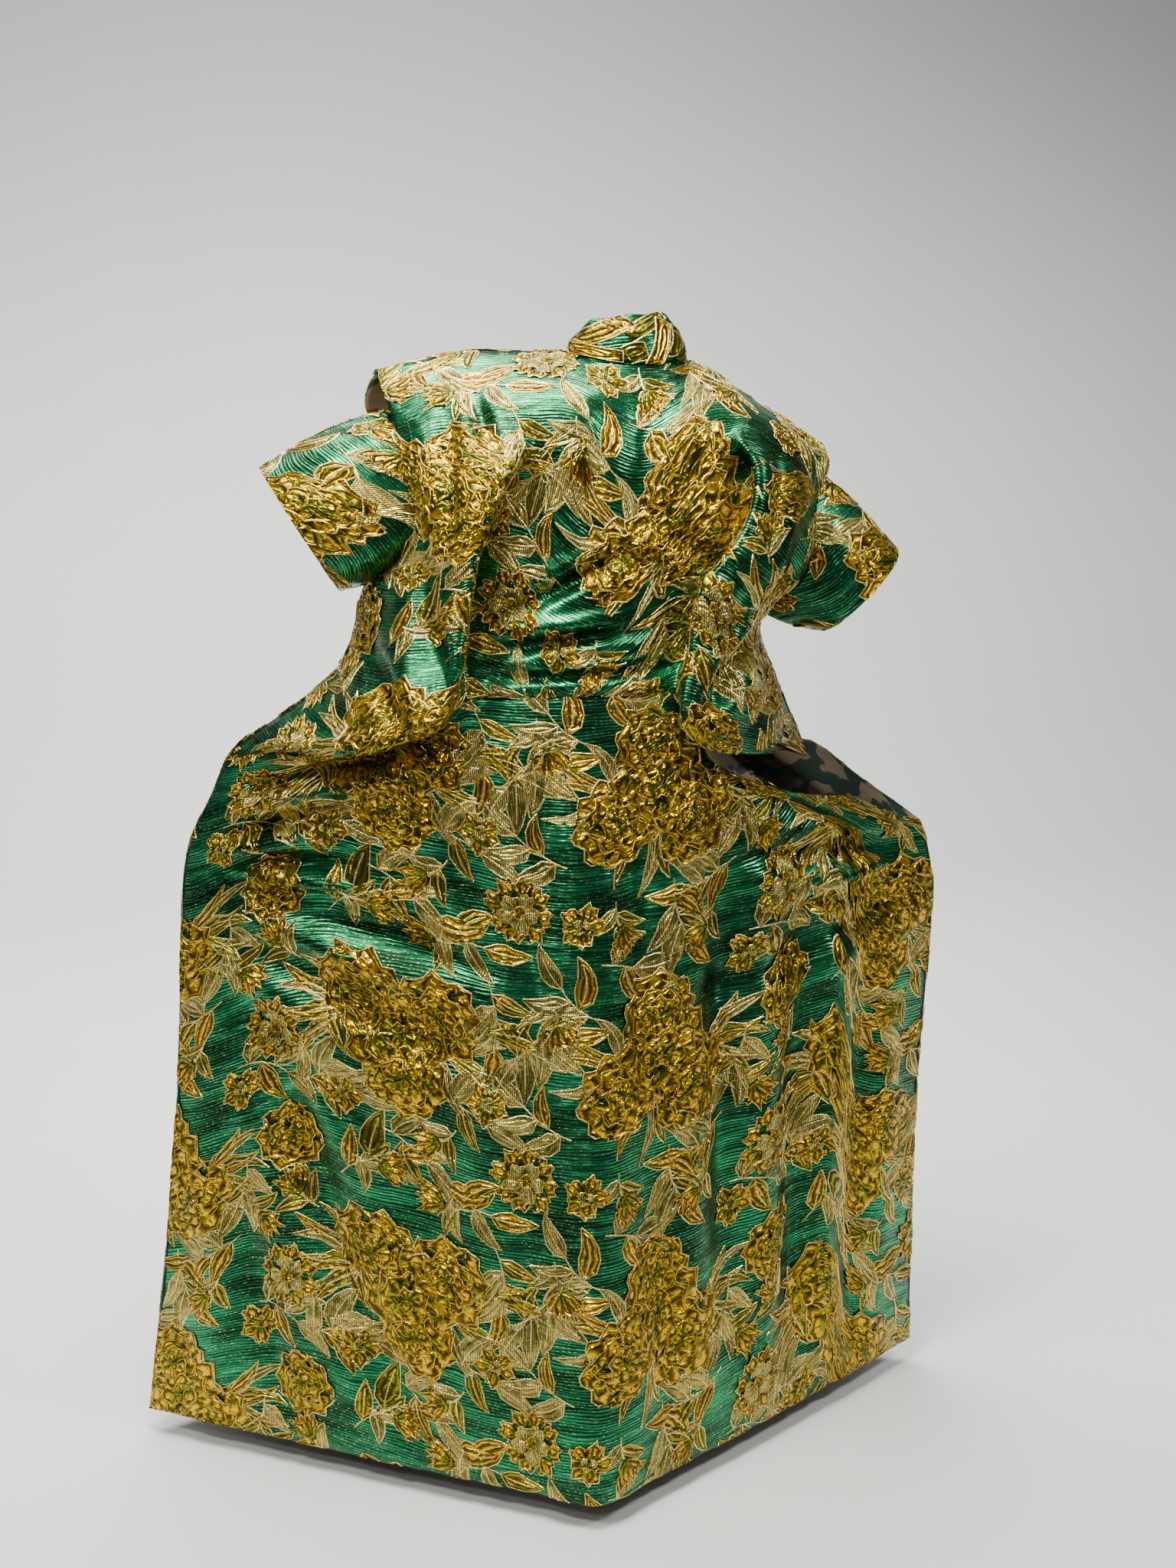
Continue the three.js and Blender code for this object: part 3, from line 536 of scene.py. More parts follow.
# Where the skirt's free top parts from the upper back: how far for each four points
PARTING = np.array([0, -0.8, -1.4])
PARTING_STEPS = 2 * FINE
SKIRT_FOLDS = [
    (470, -520, 240, -448, 26, 17), (540, -596, 350, -530, 20, 15), (545, -622, 360, -606, 22, 15),
    (540, -636, 300, -664, 15, 13), (540, -644, 200, -730, 20, 24), (530, -700, 150, -880, 16, 34),
    (540, -760, 330, -960, 9, 26), (250, -560, 130, -760, 9, 30), (480, -830, 380, -1130, 20, 38),
    (390, -1120, 300, -1360, 17, 36), (560, -900, 560, -1380, -10, 34),
    (500, -1120, 460, -1390, 10, 26), (-400, -640, -150, -610, 17, 20),
    (-400, -660, -190, -700, 12, 16), (-400, -690, -60, -800, 14, 30),
    (-110, -560, -120, -1250, 17, 34), (-230, -640, -225, -1380, 18, 32),
    (-340, -700, -330, -1380, 16, 30), (180, -640, 215, -1300, -9, 44),
    (120, -470, 135, -700, 8, 22), (20, -480, 0, -900, 9, 26), (0, -980, -40, -1390, 9, 30),
]


def skirt_half(top, far, least_round, folds, side):
    """Lofts one half of the skirt under its sampled top edge. Returns its points and flat points."""
    sections = []
    for row in SKIRT:
        amount = max(row[4], least_round)
        halves = []
        for edge in row[:2]:
            points = rounded(edge, row[far], SKIRT_SHARES, amount)
            points[:, 2] = edge[2] + (row[far][2] - edge[2]) * smooth(SKIRT_SHARES)
            halves.append(points)
        sections.append(along([*halves[0], *halves[1][::-1][1:]], STEPS_ACROSS))
    plain = along([top, *sections], SKIRT_STEPS_DOWN)
    return press(plain, side, folds, SKIRT_FINE), flat_of(plain)


def skirt_top(last_row, column, crest):
    """The panel's last row up to a column, then the free crest to the held point"""
    free = along([last_row[column], *crest, RIGHT_HAND], [CREST_SAMPLES] * (len(crest) + 1))
    picks = np.linspace(0, len(free) - 1, LAST_COL - column + 1)[1:].round().astype(int)
    past = np.maximum(0, np.arange(column + 1) - column + PARTING_STEPS) / FINE
    return np.concatenate([last_row[:column + 1] + past[:, None] * PARTING, free[picks]])


right_crest = LAST_COL - STEPS_ACROSS[0] - STEPS_ACROSS[1]
back_top = skirt_top(back_grid[-1], right_crest, BACK_CREST)
skirt_back_grid, skirt_back_flat = skirt_half(back_top, 2, 0, SKIRT_FOLDS, 1)
skirt_behind = cloth("skirt_behind", skirt_back_grid, 1, skirt_back_flat)
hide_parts("skirt_back")
declare(skirt_back_grid)

# The skirt's front half is cut as the back, hangs fuller, and shows its wrong side at the right,
# between the drape and the held point.
FRONT_CREST = [(-268, -38, -494), (-331, -40, -542), (-385, -36, -580)]
FRONT_LEAST_ROUND = 0.8
FRONT_SKIRT_FOLDS = [
    (540, -640, 250, -760, 13, 30), (-410, -690, -120, -800, 12, 30),
    (300, -600, 360, -1390, 13, 34), (160, -560, 180, -1390, 12, 32),
    (10, -560, -10, -1390, 13, 34), (-130, -620, -190, -1390, 12, 34),
    (-290, -700, -330, -1390, 10, 30),
]
front_free = LAST_COL - STEPS_ACROSS[0]
front_top = skirt_top(front_grid[-1], front_free, FRONT_CREST)
skirt_front_grid, skirt_front_flat = skirt_half(front_top, 3, FRONT_LEAST_ROUND, FRONT_SKIRT_FOLDS, -1)
skirt_front_grid[:, [0, -1]] = skirt_back_grid[:, [0, -1]]
skirt_before = cloth("skirt_before", skirt_front_grid, -1, skirt_front_flat)
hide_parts("skirt_front")
declare(skirt_front_grid)

# Each sleeve is a short wide tube from the armhole to an open cuff. Its top is tucked under the
# stiff edge of the back, which stands out over it as a flange.
SLEEVE_STEPS = 7 * FINE
FULL_BELLY_LENGTH = 110
SUNK_ROWS = 4 * FINE
SUNK_NARROWING = 0.25
SLEEVES = {
    # sign, how far the top is sunk, top of the cuff, foot of the cuff, half its depth, belly
    "sleeve_left": (1, (-16, 0, -46), (449, 0, -126), (357, 8, -275), 62, 10),
    "sleeve_right": (-1, (16, 0, -40), (-361, 0, -235), (-262, 12, -338), 60, 8),
}


def sleeve_grid(sign, sink, cuff_top, cuff_low, depth, belly):
    column = 0 if sign > 0 else LAST_COL
    behind = back_grid[:UNDERARM_ROW + 1, column]
    before = front_grid[UNDERARM_ROW - 1::-1, column][:UNDERARM_ROW]
    loop = np.concatenate([behind, before]).copy()
    count = len(loop) - 1
    k = np.arange(len(loop))
    rows = np.minimum(k, count - k)
    sunk = smooth(np.maximum(0, 1 - rows / SUNK_ROWS))
    inward = smooth(np.maximum(0, 1 - rows / (SUNK_ROWS - FINE)))
    loop[:, 2] += sink[2] * sunk
    loop[:, 0] += sink[0] * inward
    loop[:, 1] *= 1 - SUNK_NARROWING * sunk
    top, low = np.array(cuff_top, float), np.array(cuff_low, float)
    turn = 2 * np.pi * k / count
    centre = (top + low) / 2
    cuff = centre + np.outer(np.cos(turn), (top - low) / 2) + np.outer(np.sin(turn), (0, depth, 0))
    middle = loop[:-1].mean(axis=0)
    slack = np.minimum(1, np.linalg.norm(cuff - loop, axis=1) / FULL_BELLY_LENGTH)[:, None]
    grid = []
    for t in np.linspace(0, 1, SLEEVE_STEPS + 1):
        ring = loop + (cuff - loop) * t
        away = unit(ring - (middle + (centre - middle) * t))
        grid.append(ring + away * belly * slack**2 * math.sin(math.pi * t))
    return np.array(grid)


sleeve_grids = {}
for name, (sign, *sizes) in SLEEVES.items():
    grid = sleeve_grid(sign, *sizes)
    flat = flat_of(grid)
    tube = cloth(name + "_tube", grid, sign, flat, closed=True)
    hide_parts(name)
    declare(grid)
    sleeve_grids[name] = (grid, sign, flat)

# The collar is a stand that leans in as it rises, highest behind the right ear.
COLLAR = [
    # angle, height, lean
    (-180, 16, 3), (-135, 26, 8), (-90, 50, 24), (-45, 61, 26), (0, 60, 16), (45, 46, 10),
    (90, 20, 8), (135, 14, 4), (180, 16, 3),
]
COLLAR_STEPS = 16
COLLAR_FLARE = 5


def collar_point(angle, t):
    """A point of the collar, from its foot at 0 to its top edge at 1"""
    around = (np.asarray(angle) + 180) % 360 - 180
    place = np.clip((around + 180) / 45, 0, 7.9999)
    low = place.astype(int)
    share = smooth(place - low)
    height, lean = (v[low] + (v[low + 1] - v[low]) * share for v in np.array(COLLAR, float)[:, 1:].T)
    p = neckline(around)
    away = unit((p - (NECK_X, 0, 0)) * (1, 1, 0))
    p[..., 2] += height * t
    return p + away * (COLLAR_FLARE * np.sin(np.pi * t) - lean * t)[..., None]


collar_angles = np.concatenate([neck_angles, front_angles[-2::-1] - 360])
collar_grid = np.array([collar_point(collar_angles, t) for t in np.linspace(1, 0, COLLAR_STEPS + 1)])
collar_flat = flat_of(collar_grid)
stand = cloth("collar_stand", collar_grid, 1, collar_flat, closed=True)
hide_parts("collar")
declare(collar_grid)

# The motifs are woven in with thicker wefts, so they stand up from the satin: ruffled roses in
# clusters, open roses, small flowers, buds and sprays of leaves. One repeat is drawn flat, in
# millimetres, and laid on every panel with a half drop. Each petal or leaf is one blade.
REPEAT_WIDE, REPEAT_HIGH = 700, 340
CREAM, MUSTARD, STEM, BAND = range(4)
KIND_AT, PETAL_AT, LIFT_AT = 5, 7, 9
THREAD_HALF, THREAD_RISE = 0.95, 1.1
ROSE_RINGS = [
    # petals, how far out they start, length and width as shares of the size, lift
    (5, 0.5, 0.64, 1.5, 0.0), (4, 0.24, 0.54, 1.3, 1.1), (3, 0.06, 0.44, 0.96, 2.3),
    (2, 0.0, 0.26, 0.44, 3.2),
]
# Angle, how far out, how far up, spread and number of the fronds, then angle, how far out and size
CLUSTER_FRONDS = [(0, 62, 0, 2.1, 8), (3.14, 56, 10, 2.2, 5), (1.6, 0, 44, 1.2, 3)]
CLUSTER_ROSES = [(2.5, 66, 48), (-1.9, 58, 46), (0.6, 60, 52), (4.4, 8, 58)]
dice = np.random.default_rng(11)
blades = []


def blade(x, y, heading, length, width, kind, bend=0.0, petal=0.0, ruffle=0.0, lift=0.0, tone=0.0):
    """Adds a petal or a leaf that starts at x, y. Lift is in millimetres, and tone 1 is olive."""
    phase = dice.uniform(0, 6.28)
    blades.append((x, y, heading, length, width, kind, bend, petal, ruffle, lift, tone, phase))


def ring(x, y, size, count, start, length, width, turn, kind, lift=0.0, **more):
    """Petals that point outwards from x, y, each overlapping the next, in shares of a size"""
    for k in range(count):
        heading = turn + 2 * math.pi * (k + dice.uniform(-0.14, 0.14)) / count
        reach = size * length * dice.uniform(0.88, 1.14)
        place = (x + size * start * math.cos(heading), y + size * start * math.sin(heading))
        blade(*place, heading, reach, size * width, kind, petal=1, lift=lift + 0.2 * (k % 3), **more)


def rose(x, y, size, turn):
    """A ruffled rose: four rings of broad petals, each narrower and higher than the last"""
    tone = dice.uniform(0.1, 0.5)
    for count, start, length, width, lift in ROSE_RINGS:
        ring(x, y, size, count, start, length, width, turn + 5 * start, MUSTARD,
             ruffle=0.16, lift=lift, tone=tone)


def open_rose(x, y, size, turn):
    """An open rose: a mustard ruffle round a pale hatched heart"""
    ring(x, y, size, 8, 0.52, 0.5, 0.72, turn, MUSTARD, ruffle=0.18, tone=0.1)
    ring(x, y, size, 5, 0.1, 0.56, 0.6, turn + 0.4, CREAM, ruffle=0.1, lift=0.9)
    ring(x, y, size, 3, 0, 0.24, 0.28, turn, MUSTARD, lift=1.9)


def flower(x, y, size, turn):
    """A small flower with five round petals"""
    ring(x, y, size, 5, 0.14, 0.86, 0.92, turn, MUSTARD, ruffle=0.12, tone=0.3)
    ring(x, y, size, 3, 0, 0.34, 0.34, turn + 0.5, CREAM, lift=1.2)


def stem(x, y, heading, length, bend):
    """A thin curved stem. Returns a function from a share of its length to a point and heading."""
    blade(x, y, heading, length, 1, STEM, bend=bend)

    def at(share):
        steps = np.linspace(0, share, 12)
        angles = heading + bend * ((steps[1:] + steps[:-1]) / 2 - 0.5)
        walked = length * np.diff(steps)
        angle = heading + bend * (share - 0.5)
        return x + (np.cos(angles) * walked).sum(), y + (np.sin(angles) * walked).sum(), angle

    return at


def spray(x, y, heading, length, bend, count):
    """A stem with leaves on alternate sides, pale and mustard in turn, and one at its tip"""
    at = stem(x, y, heading, length, bend)
    for k in range(count):
        px, py, angle = at(0.2 + 0.72 * k / count)
        out = angle + (0.8 if k % 2 else -0.8) * dice.uniform(0.75, 1.2)
        size = dice.uniform(52, 74)
        kind = CREAM if (k + count) % 2 else MUSTARD
        blade(px, py, out, size, size * dice.uniform(0.36, 0.46), kind, bend=dice.uniform(-1.4, 1.4),
              ruffle=0.07, tone=dice.uniform(0, 0.6))
    px, py, angle = at(1)
    blade(px, py, angle, 60, 24, CREAM if count % 2 else MUSTARD, bend=bend * 0.8, ruffle=0.09, tone=0.2)


def bud(x, y, heading, length, bend):
    """A bud with a ruffled top on a short stem, in two sepals"""
    at = stem(x, y, heading, length, bend)
    px, py, angle = at(1)
    for side in (-0.7, 0.7):
        blade(px, py, angle + side, 24, 9, CREAM, bend=-side)
    for side in (-0.42, 0.42, 0):
        blade(px, py, angle + side, 36, 24, MUSTARD, petal=1, ruffle=0.2, lift=0.6, tone=0.2)
    for share, side in ((0.3, 1.0), (0.5, -1.0)):
        px, py, angle = at(share)
        blade(px, py, angle + side, 46, 19, CREAM if side > 0 else MUSTARD, bend=side * 0.8, tone=0.5)


def fronds(x, y, heading, spread, count):
    """Long wavy leaves that stream out of one side of a cluster"""
    for k in range(count):
        out = heading + spread * ((k + 0.5) / count - 0.5)
        size = dice.uniform(66, 98)
        start = (x + 14 * math.cos(out), y + 14 * math.sin(out))
        bend = dice.uniform(0.5, 1.2) * (1 if k % 2 else -1)
        blade(*start, out, size, dice.uniform(15, 22), CREAM if k % 3 == 1 else MUSTARD, bend=bend,
              ruffle=0.16, tone=dice.uniform(0.1, 0.7))


def cluster(x, y, turn):
    """Four roses that crowd together, in leaves, with fronds on either side"""
    for angle, far, above, spread, count in CLUSTER_FRONDS:
        out = turn + angle
        start = (x + far * math.cos(out) - above * 0.2, y + far * math.sin(out) + above * 0.6)
        fronds(*start, out, spread, count)
    for angle, far, size in CLUSTER_ROSES:
        out = turn + angle
        rose(x + far * math.cos(out), y + far * math.sin(out), size, out)


cluster(126, 112, 0.2)
cluster(476, 262, 3.3)
open_rose(306, 282, 42, 0.3)
open_rose(640, 78, 40, 1.0)
rose(318, 92, 40, 0.8)
for place in ((254, 16, 27, 0.2), (596, 326, 26, 0.4), (16, 262, 28, 1.3), (400, 20, 26, 0.1)):
    flower(*place)
for place in (
    (242, 176, 0.6, 34, 0.5), (408, 92, 0.3, 40, -0.6), (552, 30, 2.4, 34, 0.6),
    (676, 176, 1.4, 38, -0.5), (206, 272, 2.2, 34, 0.7), (60, 236, 1.4, 32, -0.5),
    (566, 128, 3.0, 34, 0.5), (350, 190, -2.4, 30, 0.5),
):
    bud(*place)
for place in (
    (236, 226, 2.9, 78, 0.6, 4), (356, 232, 0.2, 66, -0.7, 3), (392, 128, -0.5, 92, 0.8, 4),
    (520, 96, 0.4, 84, -0.6, 4), (600, 168, 1.5, 84, 0.7, 4), (138, 226, 1.3, 84, -0.8, 4),
    (252, 326, 0.3, 70, 0.8, 3), (352, 322, 0.4, 76, -0.5, 3), (622, 268, -0.4, 80, 0.5, 4),
    (700, 20, -2.6, 72, 0.5, 3), (40, 312, 0.4, 74, 0.6, 3), (452, 54, 0.5, 66, 0.6, 3),
    (256, 120, 1.9, 60, 0.6, 3), (676, 226, 2.4, 60, -0.6, 3), (34, 40, -2.4, 60, 0.7, 3),
    (332, 24, -0.4, 58, 0.6, 3), (538, 334, 0.3, 60, 0.5, 3),
):
    spray(*place)
repeat_count = len(blades)


def strap(x0, y0, x1, y1, width, tone, bend=0.0, lift=0.0):
    """A plain strip of the raised weave from one flat point to another"""
    blade(x0, y0, math.atan2(y1 - y0, x1 - x0), math.hypot(x1 - x0, y1 - y0), width, BAND,
          bend=bend, lift=lift, tone=tone)


# The collar is cut so that its back shows two crinkled mustard bands, an olive streak and a plain
# mustard stripe that slants over the nape.
strap(-100, 26, -30, -3, 16, 0.95)
strap(-112, 50, -84, 44, 22, 0.8, bend=0.4)
strap(-44, 60, -10, 18, 30, 0.85, bend=-0.5)
strap(-182, 27, -84, 4, 19, 0.05, bend=-0.35, lift=0.8)
strap(-199, 32, -116, 51, 15, 0.0, lift=1.2)
strap(-82, 66, -36, 8, 19, -0.2, lift=1.0)
flower(-106, 7, 13, 0.4)
stem(-30, 20, 1.4, 34, 2.6)
stem(-60, 52, -0.4, 40, -1.6)
collar_blades = np.array(blades[repeat_count:])
blades = np.array(blades[:repeat_count])


# A blade's outline and vein as shares of its width, and its heights over the satin in millimetres
LEAF_TIP, PETAL_FOOT, PETAL_WIDEST, PETAL_TIP = 0.04, 0.42, 0.75, 0.42
VEIN_WIDTH, VEIN_DEPTH = 0.3, 0.55
WEAVE_LIFT, CROWN_LEAST, CROWN_GROWTH, CROWN_MOST = 0.3, 0.7, 0.05, 2.1
RUFFLES_ALONG, RUFFLES_ACROSS = 15.7, 6


def draw(rows, stations, crosses):
    """The flat points of a table of blades, how far each lies from an edge, and its tone"""
    x, y, heading, length, width, kind, bend, petal, ruffle, lift, tone, phase = (
        v[:, None, None] for v in rows.T
    )
    t = np.linspace(0, 1, stations)[None, :, None]
    cross = np.linspace(-1, 1, crosses)[None, None, :]
    steps = heading + bend * ((t[:, 1:] + t[:, :-1]) / 2 - 0.5)
    walk = length / (stations - 1)
    start = np.zeros_like(heading)
    along_x = x + np.concatenate([start, np.cumsum(np.cos(steps) * walk, axis=1)], axis=1)
    along_y = y + np.concatenate([start, np.cumsum(np.sin(steps) * walk, axis=1)], axis=1)
    leaf_half = LEAF_TIP + (1 - LEAF_TIP) * np.sin(math.pi * t**0.66).clip(0) ** 0.9
    petal_half = PETAL_FOOT + (1 - PETAL_FOOT) * smooth(np.minimum(t / PETAL_WIDEST, 1))
    petal_half -= 0.5 * np.maximum(t - PETAL_WIDEST, 0)
    half = np.where(kind == BAND, 1, leaf_half * (1 - petal) + petal_half * petal) * width / 2
    half = half * (1 + ruffle * np.sin(RUFFLES_ALONG * t + phase + 2 * cross))
    tip = 1.1 * ruffle * np.sin(RUFFLES_ACROSS * cross + phase) - PETAL_TIP * np.abs(cross) ** 2.5
    ahead = petal * length * t**2 * tip
    turn = heading + bend * (t - 0.5)
    flat_x = along_x + ahead * np.cos(turn) - half * cross * np.sin(turn)
    flat_y = along_y + ahead * np.sin(turn) + half * cross * np.cos(turn)
    crown = np.minimum(CROWN_LEAST + CROWN_GROWTH * width, CROWN_MOST)
    vein = np.exp(-((cross / VEIN_WIDTH) ** 2)) * (1 - petal) * VEIN_DEPTH
    swell = (1 - cross**2) * (1 + 0.24 * np.sin(RUFFLES_ACROSS * cross + 8 * t + phase)) - vein
    height = WEAVE_LIFT + lift + crown * swell * (0.35 + 0.65 * np.sin(math.pi * (0.08 + 0.84 * t)))
    rise = (1 - np.abs(cross)) * np.sin(math.pi * t).clip(0) ** 0.4 + 0 * x
    tones = tone + petal * 2.0 * (0.5 - t) + 0 * cross
    return np.stack([flat_x, flat_y, height], axis=-1), rise, tones


def ribbon(points, tones=0.0):
    """A thread with a ridge along rows of flat points [rows, count, 3], three points at each step"""
    ahead = unit(np.gradient(points[..., :2], axis=1))
    beside = np.stack([-ahead[..., 1], ahead[..., 0], np.zeros(ahead.shape[:2])], axis=-1) * THREAD_HALF
    ridge = points + (0, 0, THREAD_RISE)
    made = np.stack([points - beside, ridge, points + beside], axis=2)
    return made, np.ones(made.shape[:3]), np.zeros(made.shape[:3]) + np.reshape(tones, (-1, 1, 1))


def patches(parts):
    """Vertices, faces and two values a vertex, from blocks of points [blocks, m, n, 3] and values"""
    made, start = [], 0
    for block, one, two in parts:
        blocks, m, n = block.shape[:3]
        starts = start + np.arange(blocks)[:, None, None] * m * n
        faces = (quads_of(m, n) + starts).reshape(-1, 4)
        made.append((block.reshape(-1, 3), faces, one.reshape(-1), two.reshape(-1)))
        start += blocks * m * n
    return [np.concatenate(v) for v in zip(*made)]


def sample(table, r, c):
    """Reads a table between its rows and columns."""
    r0 = np.clip(r.astype(int), 0, table.shape[0] - 2)
    c0 = np.clip(c.astype(int), 0, table.shape[1] - 2)
    shape = r.shape + (1,) * (table.ndim - 2)
    fr, fc = (r - r0).reshape(shape), (c - c0).reshape(shape)
    near = table[r0, c0] * (1 - fc) + table[r0, c0 + 1] * fc
    far = table[r0 + 1, c0] * (1 - fc) + table[r0 + 1, c0 + 1] * fc
    return near * (1 - fr) + far * fr


# How a flat point's place is found: the step of the tables, the rounds of search, the most it may miss
BIN, ROUNDS, MISS = 4.0, 12, 3.0


def finder(places, wanted):
    """A table of which place in each row lies at each step, and where the wanted ones are in it"""
    bins = np.arange(places.min(), places.max() + BIN, BIN)
    table = np.array([np.interp(bins, row, np.arange(len(row))) for row in places])
    return table, np.clip((wanted - bins[0]) / BIN, 0, len(bins) - 1)


def lay(points, grid, side, flat):
    """Lays flat points with heights on a panel. Also says which of them its edges cut off."""
    s_of, t_of = flat[..., 0] / MM, -flat[..., 1] / MM
    s, t = points[:, 0], points[:, 1]
    to_col, s_at = finder(s_of, s)
    to_row, t_at = finder(t_of.T, t)
    r = np.full(len(s), len(grid) / 2)
    for _ in range(ROUNDS):
        c = sample(to_col, r, s_at)
        r = sample(to_row, c, t_at)
    missed = np.hypot(sample(s_of, r, c) - s, sample(t_of, r, c) - t) > MISS
    out = normals(grid, side)
    return sample(grid, r, c) + sample(out, r, c) * points[:, 2:3], missed


def bloom_finish(name, pale):
    """Raised weave: crinkled mustard to olive, with painted highlight on the crinkles' crests and
    painted shade in their hollows, or pale gold with a fine upright hatch. Both have painted shade round
    their edges.
    """
    made, wire, flat = cloth_finish(name)
    rise, tone = wire.attribute("rise"), wire.attribute("tone")
    grain = flat.scaled(120, 190).noise(2.0)
    blotch = flat.scaled(30, 34).noise(2.0)
    ridges = (rise * 12 + flat.scaled(34, 40).noise(1.5) * 7).sine() * 0.5 + 0.5
    # The crinkle's height, which is painted into the colour as well: painted highlight on its crests,
    # painted shade in its hollows
    crinkle_and_painted_shading = ridges * 0.62 + grain * 0.38
    if pale:
        hatch = (flat.along_axis(0) * 2600).sine().step(-0.7, 0.7)
        fine = hatch * 0.7 + grain * 0.3
        pale_gold = fine.mix(0x5E5414, 0xF8E680)
        dull_gold = fine.mix(0x383A10, 0xA09A4C)
        colour = (tone * 0.5 + blotch * 1.4 - 0.62).step(0.1, 0.4).mix(pale_gold, dull_gold)
        height = hatch * 0.3 + crinkle_and_painted_shading * 0.6
    else:
        # Mustard and olive, each lighter on the crinkles' crests and darker in their hollows: painted
        # light and shade
        mustard = crinkle_and_painted_shading.step(0.15, 0.75).mix(0x4E3E00, 0xD6AA00)
        olive = crinkle_and_painted_shading.step(0.0, 0.8).mix(0x2C2A00, 0x84800C)
        olive_part = (tone + blotch * 1.1 - 0.55).step(0.22, 0.42)
        colour = olive_part.mix(mustard, olive)
        height = crinkle_and_painted_shading * (1.1 - olive_part * 0.6)
    # Painted shade: dark brown round each blade's edge, where it drops to the satin
    colour = rise.step(-0.1, 0.22).mix(0x241800, colour)
    surface(wire, height, 0.0034, colour, roughness=0.29 - ridges * 0.12, metallic=0.86)
    return made


def thread_finish():
    """The metal thread round each motif: pale gold that glints unevenly, the glints painted into its
    colour as paler specks along its twist and in patches
    """
    made, wire, flat = cloth_finish("gold_thread")
    twist = flat.scaled(500, 500).noise(1.0)
    patch = flat.scaled(60, 60).noise(2.0).step(0.35, 0.65)
    # Painted glints: paler specks along the thread's twist and in patches
    pale = (twist.step(0.3, 0.7) * 0.6 + patch * 0.4).mix(0xCCA214, 0xFFF2A4)
    colour = (wire.attribute("tone") * 0.8).mix(pale, 0xBC9A08)
    surface(wire, twist, 0.0008, colour, roughness=0.26 - patch * 0.1, metallic=0.75)
    return made


mustard_weave = bloom_finish("mustard_weave", False)
cream_weave = bloom_finish("cream_weave", True)
gold_thread = thread_finish()


def woven(name, parts, material):
    """One mesh from several panels' points, faces, flat points, tones and rises"""
    offset = np.cumsum([0] + [len(part[0]) for part in parts])
    faces = np.concatenate([part[1] + start for part, start in zip(parts, offset)])
    points, flats, rises, tones = (np.concatenate([part[k] for part in parts]) for k in (0, 2, 3, 4))
    used, faces = np.unique(faces, return_inverse=True)
    piece = woven_piece(name, points[used], faces.reshape(-1, 4), flats[used] * (MM, -MM), material)
    for label, values in (("rise", rises), ("tone", tones)):
        layer = piece.data.attributes.new(label, "FLOAT", "POINT")
        layer.data.foreach_set("value", values[used].astype(np.float32))
    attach(piece, "root")


# The copies of the repeat that cover the largest panel, how far past its edge a blade may start,
# and where a panel's own motifs end
COPIES = range(-4, 7)
BLADE_REACH = 70
OWN_MOTIFS_END = 20


def brocade(grid, side, flat, shift, own=None):
    """The raised weave of one panel: its mustard, pale and thread parts. Blades of its own take
    the place of the repeat behind the panel's middle."""
    cut = flat.reshape(-1, 2) * (1, -1) / MM
    rows = []
    for column, row in itertools.product(COPIES, COPIES):
        moved = blades.copy()
        moved[:, 0] += shift[0] + column * REPEAT_WIDE
        moved[:, 1] += shift[1] + (row + column % 2 / 2) * REPEAT_HIGH
        rows.append(moved)
    rows = np.concatenate(rows)
    near = (rows[:, :2] > cut.min(axis=0) - BLADE_REACH) & (rows[:, :2] < cut.max(axis=0) + BLADE_REACH)
    rows = rows[near.all(axis=1)]
    if own is not None:
        rows = np.concatenate([rows[rows[:, 0] > OWN_MOTIFS_END], own])
    kind, petal = rows[:, KIND_AT], rows[:, PETAL_AT] == 1
    petals = draw(rows[petal], 5, 7)
    leaves = draw(rows[~petal], 6, 5)
    threads = []
    inner = np.clip(rows[:, LIFT_AT], 0, 1)
    for points, drawn, first, inside_rose in (
        (petals[0], kind[petal], 2, inner[petal]), (leaves[0], kind[~petal], 0, 0 * inner[~petal]),
    ):
        left, tip, right = points[:, first:, 0], points[:, -1, 1:-1], points[:, :first or None:-1, -1]
        edge = np.concatenate([left, tip, right], axis=1)
        threads.append(ribbon(edge[drawn != STEM], inside_rose[drawn != STEM]))
    lines = leaves[0][:, :, 2]
    threads.append(ribbon(lines[kind[~petal] == STEM]))
    threads.append(ribbon(lines[(kind[~petal] == CREAM) | (kind[~petal] == MUSTARD)][:, :-1]))
    made = []
    for wanted in ((MUSTARD, BAND), (CREAM,), None):
        parts = threads
        if wanted:
            drawn = ((petals, kind[petal]), (leaves, kind[~petal]))
            parts = [[v[np.isin(kinds, wanted)] for v in values] for values, kinds in drawn]
        flats, faces, rises, tones = patches(parts)
        placed, missed = lay(flats, grid, side, flat)
        faces = faces[~missed[faces].all(axis=1)]
        if side < 0:
            faces = faces[:, ::-1]
        made.append((placed, faces, flats[:, :2], rises, tones))
    return made


PANELS = {
    # group: the panels in it, each with its grid, side, flat points and the pattern's shift
    "skirt_behind": [(skirt_back_grid, 1, skirt_back_flat, (-30, 20))],
    "skirt_before": [(skirt_front_grid, -1, skirt_front_flat, (180, 60))],
    "bodice": [
        (back_grid, 1, back_flat, (-60, 110)),
        (front_grid, -1, front_flat, (150, 40)),
        (*sleeve_grids["sleeve_left"], (-272, -38)),
        (*sleeve_grids["sleeve_right"], (-276, -36)),
        (collar_grid, 1, collar_flat, (40, 60), collar_blades),
    ],
}
for group, panels in PANELS.items():
    woven_parts = [brocade(*panel) for panel in panels]
    for label, material, slot, index in (
        ("blooms", mustard_weave, "gold_motifs", 0),
        ("leaves", cream_weave, "cream_motifs", 1),
        ("threads", gold_thread, "gold_outline", 2),
    ):
        woven(group + "_" + label, [parts[index] for parts in woven_parts], material)

# Green thread holds the turned edges: a row of stitches above the hem, one round each cuff and one
# beside each standing armhole edge.
THREAD_LIFT = 0.8
HEM_ROW, CUFF_ROW, EDGE_COLS = -3, -4, (4, -5)
STITCH_PITCH, STITCH_LENGTH, STITCH_RADIUS = 0.0062, 0.0038, 0.0004


